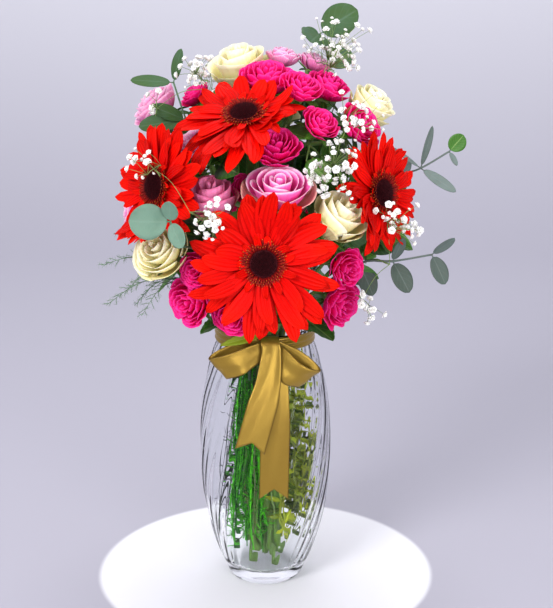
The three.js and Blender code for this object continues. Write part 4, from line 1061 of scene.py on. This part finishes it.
# Each leaf: the bloom whose stem bears it, the share of the way, the direction, the length and the width.
roseLeaves = [
    ("spray_right_2", 0.02, (44, -12), 52, 30), ("spray_left_3", 0.02, (-62, -12), 44, 26),
    ("rose_cream_low_back", 0.62, (100, -30), 60, 26), ("rose_cream_low_back", 0.7, (176, 18), 60, 26),
    ("spray_low_back_1", 0.5, (90, -34), 58, 25), ("spray_low_back_2", 0.5, (-140, -60), 58, 25),
    ("rose_side_left", 0.62, (-84, -38), 56, 24), ("rose_pink_back", 0.72, (-72, 28), 56, 25),
    ("rose_pink_back", 0.72, (-194, 22), 56, 25), ("rose_cream_back", 0.55, (165, 34), 58, 26),
    ("rose_cream_back", 0.55, (-158, 28), 58, 26), ("rose_cream_right_top", 0.7, (122, 30), 56, 24),
]
# The pale leaf over the ribbon: where it starts, which way it points, its length and its width.
neckLeaf = {"root": (-3, -46.5, 235), "way": (-1.0, -0.12, -0.24), "length": 35, "width": 8.5}
# The leaves that fill the room between the blooms: how many places are tried, how far out they reach, how
# long the leaves and their stalks are, how high on a stem they start, and the gap that they keep from blooms.
fillLook = {
    "places": 170, "reach": (70, 98), "length": (26, 38), "stalk": (12, 75), "lowest": 262, "gap": 3.5,
}
# The collar of leaves over the neck: how many, their length, and where and how steeply they start.
collarLook = {"count": 17, "length": (36, 44), "out": 20, "height": (234, 238), "rise": (12, 30), "gap": 2.5}
cupDepth = 4.2  # how far the stem's end sits below a rose's underside


def cupFoot(name):
    place, radius, faces, kindName, _ = roseTable[name]
    return placeAt(*place) - (roseKinds[kindName]["under"] * radius * bloomSwell + cupDepth) * towards(*faces)


def fillLeaves(stems, pick):
    # three leaflets on a thin stalk from the nearest stem, wherever no bloom is in the way
    roots = [spot for line in stems for spot in line if spot.z > fillLook["lowest"]]
    shortest, longest = fillLook["stalk"]
    leaves, stalks = [], []
    for i in range(fillLook["places"]):
        rise = math.degrees(math.asin(-0.5 + 1.5 * (i + 0.5) / fillLook["places"]))
        tip = placeAt(math.degrees(i * goldenTurn), rise, pick.uniform(*fillLook["reach"]))
        root = min(roots, key=lambda spot: (spot - tip).length)
        if (tip - root).length < shortest or (tip - root).length > longest:
            continue
        out = (tip - heart).normalized()
        way = (tip - root).normalized()
        fan = out.cross(way).normalized() if abs(out.dot(way)) < 0.98 else out.orthogonal().normalized()
        grown = []
        for turn, size in ((0.0, 1.0), (1.0, 0.8), (-1.0, 0.8)):
            leafWay = (0.5 * way + 0.2 * out + turn * fan + 0.25 * (1 - abs(turn)) * way).normalized()
            length = size * pick.uniform(*fillLook["length"])
            if all(isFree(tip + part * length * leafWay, fillLook["gap"]) for part in (0.35, 0.7, 1.0)):
                grown.append(leafRow(
                    tip, leafWay, out + 0.2 * way, length, 0.62 * length, pick.random() * 0.8,
                    bend=pick.uniform(-0.2, 0.1), cup=0.3, form=0.8, blunt=0.7))
        if grown and isFree(tip, 2.0) and isFree(tip.lerp(root, 0.5), 2.0):
            leaves += grown
            stalks.append(([root, root.lerp(tip, 0.6) + upBy(1.5), tip], [0.8, 0.6]))
    return leaves, stalks


def collarLeaves(pick):
    # leaves that spread from the neck all the way round, on short stalks
    leaves, stalks = [], []
    for i in range(collarLook["count"]):
        bearing = 360 * i / collarLook["count"] + pick.uniform(-8, 8)
        root = collarLook["out"] * towards(bearing, 0) + upBy(pick.uniform(*collarLook["height"]))
        way = towards(bearing + pick.uniform(-14, 14), pick.uniform(*collarLook["rise"]))
        length = pick.uniform(*collarLook["length"])
        if all(isFree(root + part * length * way, collarLook["gap"]) for part in (0.5, 0.8, 1.0)):
            leaves.append(leafRow(root, way, upBy(1) - way.z * way, length, 0.6 * length, pick.random() * 0.8,
                                  bend=pick.uniform(-0.25, -0.1), cup=0.2, form=0.9, blunt=0.65))
            low = slotAt(12, bearing, bunchLook["mouth"])
            stalks.append(([low, low.lerp(root, 0.6) + upBy(1), root], [0.9, 0.7]))
    return leaves, stalks


def stemLines():
    # every rose's stem, and the part of it, or the branch, that a leaf can grow from
    lines, routes = [], {}
    for slot, tip, fork, borne in roseStems:
        end = placeAt(*fork) if fork else cupFoot(borne[0])
        outward = towards(fork[0], max(fork[1], 20)) if fork else towards(*roseTable[borne[0]][2])
        route = stemRoute(*slot, tip, end, outward)
        lines.append((smoothPath(route, 7), [2.1]))
        for name in borne:
            routes[name] = route[3:]
            if fork:
                foot = cupFoot(name)
                routes[name] = [end - 2 * outward, foot - 12 * towards(*roseTable[name][2]), foot]
                lines.append((smoothPath(routes[name], 6), [1.8, 1.6]))
    return lines, routes


def cupsAndSepals(finish, pick):
    cups, sepals = [], []
    for number, (place, ownRadius, faces, kindName, _) in enumerate(roseTable.values()):
        radius = ownRadius * bloomSwell
        under = roseKinds[kindName]["under"] * radius
        wide = 0.5 * radius
        placed = standMatrix(placeAt(*place), towards(*faces))
        turned = placed.to_3x3()
        outline = [(0, -under + 1), (0.55 * wide, -under + 0.6), (0.62 * wide, -under - 1.2),
                   (0.5 * wide, -under - 4.0), (2.6, -under - 7.4), (0, -under - 7.6)]
        cups.append(latheMesh("cup", outline, 14, finish))
        cups[-1].transform(placed)
        for i in range(5):
            spoke = spokeAt(2 * math.pi * (i + 0.5) / 5 + number)
            way = (spoke + upBy(pick.uniform(-0.5, 0.35))).normalized()
            root = spoke * 0.5 * wide + upBy(-under - 0.6)
            sepals.append(leafRow(placed @ root, turned @ way, turned @ upBy(1), 0.8 * radius, 0.3 * radius,
                                  pick.random(), bend=pick.uniform(-0.25, 0.1), cup=0.3, form=0.75))
    return cups, sepals


def makeRoseGreens():
    pick = random.Random(7)
    finish = greens["roseGreen"]
    lines, routes = stemLines()
    cups, sepals = cupsAndSepals(finish, pick)
    leaves = []
    for name, share, (bearing, rise), length, width in roseLeaves:
        root, _ = pointAlong(routes[name], share)
        leaves.append(leafRow(root, towards(bearing, rise), towards(bearing, rise + 70), length, width,
                              pick.random(), bend=-0.1, cup=0.25, form=0.85, tooth=0.1, blunt=0.65))
    small, stalks = fillLeaves([line for line, _ in lines], pick)
    collar, shortStalks = collarLeaves(pick)
    root = Vector(neckLeaf["root"])
    pale = [leafRow(root, Vector(neckLeaf["way"]).normalized(), Vector((0, -1, 0.5)), neckLeaf["length"],
                    neckLeaf["width"], 0.5, bend=-0.08, cup=0.5, form=0.75)]
    paleStalk = [Vector((0.35 * root.x, 0.5 * root.y, root.z - 6)), root.lerp(heart, 0.08), root]
    lines += [*stalks, *shortStalks, (paleStalk, [0.8, 0.6])]
    meshes = [twigMesh("roseStems", lines, finish, 8),
              leafMesh("sepals", sepals, finish, 5, 8, walls["leaf"]),
              leafMesh("neckLeaf", pale, greens["oliveGreen"], 5, 12, walls["leaf"]),
              leafMesh("roseLeaves", leaves, finish, 9, 45, walls["leaf"]),
              leafMesh("fillLeaves", small + collar, finish, 3, 10, walls["leaf"]), *cups]
    finishPiece("rose_greens", meshes, "rose_green", "rose_stems")


makeRoseGreens()
print("rose greens ready")


# Baby's breath
# Each spray: its slot in the neck, its lowest point, its way out, and its clusters of florets.
# Each cluster: its place round the heart, how far it spreads, and how many florets.
breaths = {
    "breath_top": {"slot": (12, 150), "low": 140, "way": [(106, 55, 114)], "clusters": [
        ((92, 66, 143), 24, 58), ((125, 60, 136), 18, 18)]},
    "breath_right": {"slot": (16.8, 40), "low": 188, "way": [(34, 28, 112)], "clusters": [
        ((43, 39, 138), 20, 34), ((25, 22, 132), 22, 56)]},
    "breath_low_right": {"slot": (13.5, 55), "low": 188, "way": [(62, -22, 102), (54, -15, 128)],
                         "clusters": [((50, 2, 140), 19, 34), ((50, -32, 130), 13, 14)]},
    "breath_left": {"slot": (18.3, -18), "low": 188, "way": [(-24, 3, 108), (-24, 9, 138)], "clusters": [
        ((-17, 8, 143), 15, 26), ((-42, 21, 146), 15, 14)]},
    "breath_top_left": {"slot": (19.2, -85), "low": 150, "way": [(-66, 62, 112)], "clusters": [
        ((-60, 62, 132), 15, 30), ((-74, 43, 132), 13, 4)]},
    "breath_back": {"slot": (12, 172), "low": 130, "way": [(-174, 10, 108)], "clusters": [
        ((-178, 8, 134), 22, 34), ((-150, 46, 130), 18, 18)]},
}
# The florets: their rings of petals from the outside in, each with its count and its lean forward, their
# sizes, how many places are tried for each, and the gap that they keep from the blooms.
floretLook = {"rings": [(5, 0.1), (5, 0.8), (3, 1.8)], "sizes": (1.7, 2.6, 3.1, 3.4), "tries": 12, "gap": 2.3}


def floretPetals(at, outward, radius, shift, pick):
    steady = upBy(1) if abs(outward.z) < 0.9 else Vector((1, 0, 0))
    across = outward.cross(steady).normalized()
    upward = outward.cross(across)
    rows = []
    for ring, (count, lean) in enumerate(floretLook["rings"]):
        for i in range(count):
            turn = 2 * math.pi * (i + 0.5 * ring) / count + shift
            spoke = across * math.cos(turn) + upward * math.sin(turn)
            way = (spoke + lean * outward).normalized()
            rows.append(leafRow(at, way, outward + 0.01 * spoke, radius, 1.15 * radius, 0.3 * pick.random(),
                                bend=0.15, cup=0.4, form=1.4, blunt=0.5))
    return rows


def makeBreath(name, number):
    spray = breaths[name]
    pick = random.Random(300 + number)
    trunk = twigThrough(*spray["slot"], spray["low"], spray["way"])
    hub = trunk[-1]
    lines = [(smoothPath(trunk, 6), [1.1, 1.1, 1.0, 0.8, 0.6])]
    petals = []
    for (bearing, rise, reach), size, count in spray["clusters"]:
        middle = placeAt(bearing, rise, reach - 0.7 * size)
        bow = hub.lerp(middle, 0.5) + upBy(0.12 * (middle - hub).length)
        lines.append((smoothPath([hub, bow, middle], 5), [0.28, 0.2]))
        forks = [middle + Vector([pick.uniform(-0.45, 0.45) * size for _ in range(3)]) for _ in range(7)]
        for fork in forks:
            lines.append(([middle, middle.lerp(fork, 0.6) + upBy(0.8), fork], [0.36, 0.3]))
        placed = 0
        for _ in range(count * floretLook["tries"]):
            if placed >= count:
                break
            aside = Vector([pick.gauss(0, 0.46) * size for _ in range(3)])
            at = placeAt(bearing, rise, reach) + aside
            if aside.length > 1.25 * size or not isFree(at, floretLook["gap"]):
                continue
            fork = min(forks, key=lambda f: (f - at).length)
            kink = fork.lerp(at, 0.55) + Vector((pick.uniform(-1, 1), pick.uniform(-1, 1), 0.6))
            lines.append(([fork, kink, at], [0.2, 0.16]))
            radius = pick.choice(floretLook["sizes"])
            petals += floretPetals(at, (at - fork).normalized(), radius, number, pick)
            placed += 1
    meshes = [twigMesh(name + "Twigs", lines, greens["breathGreen"], 4),
              leafMesh(name + "Petals", petals, breathWhite, 3, 4, walls["floret"])]
    finishPiece(name + "_spray", meshes, "baby_breath", name)


makeEach(breaths, makeBreath, "baby's breath")


# Eucalyptus
# Each twig: its slot, its lowest point, its way out, and its leaves: (point, bearing, rise, length, width).
# A last word marks a young leaf that is still bright green.
eucalypts = {
    "eucalyptus_top": {"tone": 0.15, "slot": (18.6, 132), "low": 120,
                       "way": [(138, 58, 98), (126, 58, 126), (124, 68, 147)],
                       "leaves": [(2, 88, 34, 36, 28), (2, -70, 8, 16, 11), (2, -15, -4, 31, 26),
                                  (1, 140, 30, 28, 22)]},
    "eucalyptus_left": {"tone": 0.95, "slot": (29.1, -26), "low": 188,
                        "way": [(-31, -10, 104), (-31, -3, 134), (-28.4, 6, 148)],
                        "leaves": [(2, -80, 3, 31, 27), (2, 0, 62, 20, 13), (2, 40, -52, 22, 13)]},
    "eucalyptus_top_left": {"tone": 0.1, "slot": (17.7, -95), "low": 140,
                            "way": [(-76, 48, 98), (-76, 54, 128)],
                            "leaves": [(1, 30, 66, 30, 10), (1, -88, 4, 34, 10), (0, -80, -6, 38, 16),
                                       (0, -76, 24, 30, 12)]},
    "eucalyptus_right": {"tone": 0.6, "finish": "eucalyptusGrey", "slot": (18, 108), "low": 150,
                         "way": [(84, 10, 100), (79, 15, 134), (79, 18, 160)],
                         "leaves": [(1, 60, 74, 36, 7), (1, 86, -34, 34, 9), (1, -90, 36, 29, 3.5),
                                    (2, 100, 50, 17, 16, "young"),
                                    (2, 78, -60, 13, 5), (0, 110, 40, 30, 17)]},
    "eucalyptus_low_right": {"tone": 0.35, "finish": "eucalyptusGrey", "slot": (12.3, 72), "low": 188,
                             "way": [(60, -24, 98), (60, -16, 124), (66, -11, 150)],
                             "leaves": [(0, 50, -60, 28, 16), (1, 60, -56, 28, 16), (1, 40, 60, 24, 10),
                                        (2, 70, -62, 26, 14), (2, 66, 40, 24, 9)]},
}


def makeEucalyptus(name, number):
    sprig = eucalypts[name]
    pick = random.Random(400 + number)
    trunk = twigThrough(*sprig["slot"], sprig["low"], sprig["way"])
    outer = trunk[-len(sprig["way"]):]
    lines = [(smoothPath(trunk, 6), [1.4, 1.4, 1.2, 1.0, 0.8])]
    leaves, young = [], []
    for point, bearing, rise, length, width, *note in sprig["leaves"]:
        root = outer[point]
        way = towards(bearing, rise)
        upper = (root - heart).normalized() + Vector((0, -1.3, 0))
        lines.append(([root, root + 0.1 * length * way], [0.6, 0.5]))
        tone = sprig["tone"] + pick.uniform(-0.15, 0.15)
        (young if note else leaves).append(
            leafRow(root + 0.08 * length * way, way, upper, 0.94 * length, width, tone,
                    bend=pick.uniform(-0.08, 0.05), cup=0.15, form=1.0, blunt=0.52))
    finish = greens[sprig.get("finish", "eucalyptusGreen")]
    meshes = [twigMesh(name + "Twig", lines, finish, 6),
              leafMesh(name + "Leaves", leaves, finish, 9, 20, walls["leaf"])]
    if young:
        meshes.append(leafMesh(name + "YoungLeaves", young, greens["roseGreen"], 9, 20, walls["leaf"]))
    finishPiece(name + "_sprig", meshes, "eucalyptus", name)


makeEach(eucalypts, makeEucalyptus, "eucalyptus")


# Asparagus fern
outerFerns = {
    "fern_left_upper": {"slot": (12.9, -66), "low": 188, "fork": (-60, -30, 96),
                        "tips": [(-64, -14, 150), (-58, -4, 136), (-60, -24, 140)]},
    "fern_left_lower": {"slot": (18.3, -78), "low": 188, "fork": (-66, -38, 92),
                        "tips": [(-66, -27, 158), (-76, -36, 138), (-58, -34, 142)]},
}
# Each kind of feather: the room between its side twigs, their reach, their thickness, the needles on each,
# and how much they spread.
feathers = {"outer": (2.6, 15, 0.26, 8, 1.0), "inside": (5.2, 9, 0.42, 4, 2.2)}


def feather(line, upper, pick, spacing, reach, thick, needlesEach, spread):
    # side twigs on both sides of a line, each with its own needles
    twigs, spikes = [], []
    count = int(sum((b - a).length for a, b in zip(line, line[1:])) / spacing)
    for i in range(count):
        share = (i + 0.6) / (count + 0.6)
        root, way = pointAlong(line, share)
        side = upper.cross(way).normalized() * (1 if i % 2 else -1)
        lean = Vector([pick.uniform(-0.35, 0.35) * spread for _ in range(3)])
        out = reach * (1 - 0.6 * share) * pick.uniform(0.75, 1.15)
        sideWay = (way * 0.75 + side + lean).normalized()
        tip = root + out * sideWay
        twigs.append(([root, root.lerp(tip, 0.5) + 0.04 * out * upper, tip], [thick, 0.7 * thick]))
        for k in range(needlesEach):
            part = (k + 0.5) / needlesEach
            at = root.lerp(tip, part)
            spike = (sideWay * 0.7 + anyWay(pick)).normalized()
            size = pick.uniform(2.2, 4.2)
            spikes.append((at, spike, size, 0.55 * thick * pick.uniform(0.8, 1.3), pick.random()))
    return twigs, spikes


def makeOuterFern(name, number):
    fern = outerFerns[name]
    pick = random.Random(500 + number)
    trunk = twigThrough(*fern["slot"], fern["low"], [fern["fork"]])
    lines, spikes = [(smoothPath(trunk, 6), [1.1, 1.0, 0.8])], []
    for tip in fern["tips"]:
        start, end = trunk[-1], placeAt(*tip)
        arch = start.lerp(end, 0.55) + upBy(9)
        line = smoothPath([start, arch, end], 4)
        lines.append((line, [0.6, 0.4, 0.25]))
        more, tufts = feather(line, towards(tip[0], 50), pick, *feathers["outer"])
        lines += more
        spikes += tufts
    meshes = [twigMesh(name + "Twigs", lines, greens["paleFern"], 4),
              needleMesh(name + "Needles", spikes, greens["paleFern"])]
    finishPiece(name + "_frond", meshes, "pale_fern", name)


makeEach(outerFerns, makeOuterFern, "outer ferns")


# The vase's measures: its ribs, and the outlines of its glass as (radius, height), from the foot up and from
# the lip down.
vaseLook = {
    "ribs": 16, "depth": 0.65, "flutes": 0.25, "twist": 70.0, "sectors": 192, "height": 230.0,
    "foot": [(0, 0.6), (14, 0.5), (29.6, 0.0)],
    "outside": [(31, 0), (34, 7), (43, 30), (52, 66), (56.3, 112), (53.6, 165), (45.5, 203), (40.5, 218),
                (39.6, 227)],
    "lip": [(39.3, 229.2), (38.4, 229.9), (37.5, 229.2)],
    "inside": [(37.2, 228), (37, 219), (50.2, 165), (53, 112), (48.5, 66), (34, 18), (24, 10.4)],
    "floor": [(12, 10.1), (0, 10.0)],
}
# Each bunch in the glass: how many stems, the middle and the half size of the patch that it fills at its foot
# and its top, how low its stems start, how high they end, and the step between their places.
insideLook = {
    "fern": {"stems": 44, "foot": (-13, -14, 19, 20), "top": (-10, -8, 13, 15), "low": (32, 56), "high": 221,
             "step": 12},
    "olive": {"stems": 28, "foot": (27, -9, 19, 22), "top": (15, -5, 13, 15), "low": (38, 76), "high": 219,
              "step": 12, "leaves": 19},
    "dark": {"stems": 8, "foot": (-38, -8, 5, 14), "top": (-22, -6, 6, 10), "low": (24, 90), "high": 205,
             "step": 9, "twigs": 9},
    "pale": {"stems": 6, "foot": (4, -24, 26, 10), "top": (2, -16, 12, 8), "low": (40, 66), "high": 219,
             "step": 18},
}


def glassReach(height):
    # how far the inner wall is from the middle, between its floor and its neck
    radii, heights = zip(*reversed(vaseLook["inside"][1:-1]))
    return float(np.interp(height, heights, radii))


def wander(look, pick):
    # a stem inside the glass, from its cut end up towards the neck, kept clear of the wall
    turn, out = pick.uniform(0, 2 * math.pi), math.sqrt(pick.random())
    low = pick.uniform(*look["low"])
    sway, phase = pick.uniform(1, 4), pick.uniform(0, 6.28)
    line = []
    for height in np.arange(low, look["high"], look["step"]):
        up = (max(height - 30, 0) / 190) ** 1.5
        x, y, wide, deep = [a + (b - a) * up for a, b in zip(look["foot"], look["top"])]
        spot = Vector((x + out * wide * math.cos(turn), y + out * deep * math.sin(turn), 0))
        spot += sway * Vector((math.sin(height / 19 + phase), math.cos(height / 23 + phase), 0)) * (1 - up)
        spot *= min(1.0, (glassReach(height) - 4.5) / max(spot.length, 0.1))
        line.append(Vector((spot.x, spot.y, height)))
    return smoothPath(line, 6)


def makeInnerFern(pick):
    twigs, spikes = [], []
    for _ in range(insideLook["fern"]["stems"]):
        line = wander(insideLook["fern"], pick)
        twigs.append((line, [0.75, 0.6]))
        more, tufts = feather(line, towards(pick.uniform(-180, 180), 0), pick, *feathers["inside"])
        twigs += more
        spikes += tufts
    meshes = [twigMesh("fernTwigs", twigs, greens["brightFern"], 4, pick),
              needleMesh("fernNeedles", spikes, greens["brightFern"])]
    finishPiece("green_fern_bunch", meshes, "green_fern", "fern_inside")


def makeInnerTwigs(pick):
    # the olive leafy twigs, with a few dark and pale ones among them
    olive, dark, pale = (insideLook[k] for k in ("olive", "dark", "pale"))
    twigs, leaves, darkTwigs = [], [], []
    for _ in range(olive["stems"]):
        line = wander(olive, pick)
        twigs.append((line, [0.6, 0.5]))
        for _ in range(olive["leaves"]):
            root, way = pointAlong(line, pick.random())
            aside = anyWay(pick)
            leafWay = (0.5 * way * pick.choice((-1, 1)) + aside).normalized()
            size = pick.uniform(8, 15)
            if Vector((*(root + size * leafWay).xy, 0)).length > glassReach(root.z) - 3:
                leafWay = Vector((-leafWay.x, -leafWay.y, leafWay.z))
            upper = way.cross(leafWay) + 0.3 * way
            leaves.append(leafRow(root, leafWay, upper, size, 0.36 * size, pick.random(),
                                  bend=pick.uniform(-0.3, 0.3), cup=0.3, form=0.85))
    meshes = [twigMesh("oliveTwigs", twigs, greens["oliveGreen"], 5, pick),
              leafMesh("oliveLeaves", leaves, greens["oliveGreen"], 3, 6, walls["smallLeaf"])]
    for _ in range(dark["stems"]):
        line = wander(dark, pick)
        darkTwigs.append((line, [0.34, 0.24]))
        for _ in range(dark["twigs"]):
            root, way = pointAlong(line, pick.random())
            darkTwigs.append(([root, root + 5 * anyWay(pick) + 2 * way], [0.26, 0.18]))
    meshes.append(twigMesh("darkTwigs", darkTwigs, greens["darkTwig"], 4))
    paleStems = [(wander(pale, pick), [0.5, 0.4]) for _ in range(pale["stems"])]
    meshes.append(twigMesh("paleStems", paleStems, greens["breathGreen"], 5))
    finishPiece("olive_leafy_twigs", meshes, "olive_leaves", "olive_twigs")


insidePick = random.Random(9)
makeInnerFern(insidePick)
makeInnerTwigs(insidePick)
print("inside of the vase ready")


# The vase
def glassFinish():
    finish, graph, shader, where = newFinish("clearGlass")
    cloud = graph.noise(where, 30.0, 2.0)
    x, y, z = graph.parts(where)
    turn = x.calc("ARCTAN2", y * -1) - z * (math.radians(vaseLook["twist"]) * 1000 / vaseLook["height"])
    flutes = (turn * 2.0 * vaseLook["ribs"]).calc("SINE") * z.step(0.012, 0.03)
    setShader(graph, shader, {
        "Base Color": graph.blend(cloud, (0.985, 0.995, 1.0, 1), (0.97, 0.985, 0.99, 1)),
        "Roughness": 0.005 + 0.01 * cloud, "Transmission Weight": 1.0, "IOR": 1.19,
        "Normal": graph.bump(vaseLook["flutes"], 0.001, flutes + 0.2 * cloud)})
    return finish


def makeVase():
    def roundLine(rings, step):
        return [(p.x, p.z) for p in smoothPath([Vector((r, 0, h)) for r, h in rings], step)]

    def swell(around, radius, height):
        share = min(1.0, max(0.0, (height - 8) / 30)) * min(1.0, max(0.0, (222 - height) / 24))
        phase = vaseLook["ribs"] * (around - math.radians(vaseLook["twist"] * height / vaseLook["height"]))
        isOuter = radius > glassReach(max(18, min(height, 219))) + 1.2
        depth = vaseLook["depth"] if isOuter else 0.0
        return radius + (depth * share * math.cos(phase) if height > 8 else 0)

    rings = [*vaseLook["foot"], *roundLine(vaseLook["outside"], 4.0)[1:], *vaseLook["lip"],
             *roundLine(vaseLook["inside"], 5.0), *vaseLook["floor"]]
    mesh = latheMesh("vaseGlass", rings, vaseLook["sectors"], glassFinish(), swell)
    finishPiece("ribbed_vase", [mesh], "glass", "vase")


makeVase()
print("vase ready")


# The ribbon
# The deep gold is painted shade, laid along both edges of every strip and of the band.
ribbonLook = {"wall": 0.35, "gold": "98782a", "light": "b0923c", "deep": "5a420f", "across": 13, "step": 2.5}
bandLook = {"sectors": 144, "rows": 25, "radius": 41.9, "height": 223.5, "halfWidth": 6.0, "flat": (20, 264)}
# Each strip: its stations of (middle, edge to edge), its end's notch, its ripple, and how it is held.
ribbonStrips = {
    "ribbon_left_loop": ([
        ((1, -48, 223), (4, 0, -13)), ((-20, -58, 214), (2, 0, -20)), ((-36, -55, 208), (15, 0, -17)),
        ((-39, -51.5, 207), (15, 0, -17)), ((-35, -48, 211), (13, 0, -17)), ((-18, -46, 220), (4, 0, -17)),
        ((1, -45, 225), (4, 0, -12))], 0.0, 0.3, "folded"),
    "ribbon_right_loop": ([
        ((7, -48, 223), (-5, 0, -13)), ((23, -59, 205), (-14, 0, -15)), ((35, -55, 199), (-18, 0, -15)),
        ((37.5, -51.5, 198.5), (-18, 0, -15)), ((34, -48.5, 203), (-16, 0, -15)),
        ((24, -47, 213), (-10, 0, -15)), ((7, -45.5, 224), (-5, 0, -12))], 0.0, 0.3, "folded"),
    "ribbon_front_tail": ([
        ((4, -45, 233.5), (15, 0, 0)), ((4.5, -53.4, 230), (16, 0, 0)), ((5.5, -55.6, 221), (20, 0, -1)),
        ((2.5, -61, 195), (24.5, 0, -5)), ((-4.5, -63.5, 168), (24.5, 0, -5.5)),
        ((-12.5, -64, 138), (24.5, 0, -5.5))], 8.0, 0.35, "hung"),
    "ribbon_back_tail": ([
        ((5, -47.5, 222), (16, 0, 0)), ((8, -54.5, 205), (22, 0, 0)), ((9, -59.5, 175), (24.5, 0, -1)),
        ((8.5, -60.5, 140), (24.5, 0, 0)), ((7.5, -60.5, 94), (24.5, 0, 0))], 9.0, 0.4, "hung"),
    "ribbon_knot": ([
        ((4, -45.5, 216.5), (13, 0, 0)), ((4, -50.0, 217.5), (12, 0, 0)), ((4, -51.6, 223), (11, 0, 0)),
        ((4, -50.0, 229), (12, 0, 0)), ((4, -45.5, 230.5), (13, 0, 0))], 0.0, 0.6, "folded"),
}


def satinFinish():
    finish, graph, shader, where = newFinish("goldSatin")
    across = graph.attribute("across")
    threads = (across * 900.0).calc("SINE") * 0.5 + 0.5
    cloud = graph.noise(where, 60.0, 3.0)
    body = graph.blend(0.5 * cloud, colour(ribbonLook["gold"]), colour(ribbonLook["light"]))
    # painted shade: the satin turns to the deep gold towards both its edges
    shadedEdges = across.calc("ABSOLUTE").step(0.93, 0.97)
    body = graph.blend(shadedEdges * 0.55, body, colour(ribbonLook["deep"]))
    weave = graph.noise(where, 1800.0, 1.0)
    setShader(graph, shader, {
        "Base Color": body, "Roughness": 0.3 + 0.1 * (weave - 0.5), "Metallic": 0.62 + 0.1 * cloud,
        "Normal": graph.bump(0.25, 0.0003, threads * 0.5 + weave + shadedEdges),
        "Sheen Weight": 0.15, "Sheen Roughness": 0.3, "Anisotropic": 0.5})
    return finish


satin = satinFinish()


def ribbonMesh(name, stations, notch, ripple):
    # a strip through its stations, with a swallowtail cut into its end
    middles = smoothPath([Vector(m) for m, _ in stations], ribbonLook["step"])
    total, across, count = len(middles), ribbonLook["across"], len(stations) - 1
    spans = []
    for i in range(total):
        share = i / (total - 1) * count
        k = min(int(share), count - 1)
        spans.append(Vector(stations[k][1]).lerp(Vector(stations[k + 1][1]), share - k))
    verts, marks = [], {"along": [], "across": []}
    for i, (middle, span) in enumerate(zip(middles, spans)):
        ahead = middles[min(i + 1, total - 1)] - middles[max(i - 1, 0)]
        normal = ahead.cross(span).normalized()
        for k in range(across):
            u = 2 * k / (across - 1) - 1
            spot = middle + 0.5 * u * span
            if notch:
                back = notch * (1 - abs(u)) * (i / (total - 1)) ** 6
                spot -= ahead.normalized() * back
            wave = ripple * math.sin(5.2 * u + 0.16 * i) * math.sin(math.pi * i / (total - 1))
            verts.append(spot + normal * wave)
            marks["along"].append(i / (total - 1))
            marks["across"].append(u)
    starts = [i * across + k for i in range(total - 1) for k in range(across - 1)]
    faces = [(a, a + 1, a + across + 1, a + across) for a in starts]
    length = sum((b - a).length for a, b in zip(middles, middles[1:]))
    width = sum(s.length for s in spans) / len(spans)
    return plainMesh(name, verts, faces, satin, marks), length, width


def bandMesh():
    # the pleated ring round the neck
    sectors, rows = bandLook["sectors"], bandLook["rows"]
    verts, faces, marks = [], [], {"along": [], "across": []}
    for i in range(sectors):
        around = 2 * math.pi * i / sectors
        for k in range(rows):
            u = 2 * k / (rows - 1) - 1
            pleat = 1.0 * math.cos(2.5 * math.pi * u + 0.5 * math.sin(5 * around))
            radius = bandLook["radius"] + pleat * (0.75 + 0.25 * math.sin(3 * around + 1))
            height = bandLook["height"] + bandLook["halfWidth"] * u + 0.5 * math.sin(4 * around)
            verts.append((radius * math.sin(around), -radius * math.cos(around), height))
            marks["along"].append(i / sectors)
            marks["across"].append(u)
    for i in range(sectors):
        n = (i + 1) % sectors
        for k in range(rows - 1):
            faces.append((i * rows + k, n * rows + k, n * rows + k + 1, i * rows + k + 1))
    return plainMesh("band", verts, faces, satin, marks)


def cloth(name, mesh, flat):
    thick = takenMesh(linked(name, mesh), ribbonLook["wall"])
    piece = finishPiece(name, [thick], "satin_ribbon", "ribbon")
    round(flat[0] * millimetre, 4)
    round(flat[1] * millimetre, 4)


cloth("ribbon_band", bandMesh(), bandLook["flat"])
for name, (stations, notch, ripple, held) in ribbonStrips.items():
    strip, length, width = ribbonMesh(name, stations, notch, ripple)
    cloth(name, strip, (width, length))
print("ribbon ready")
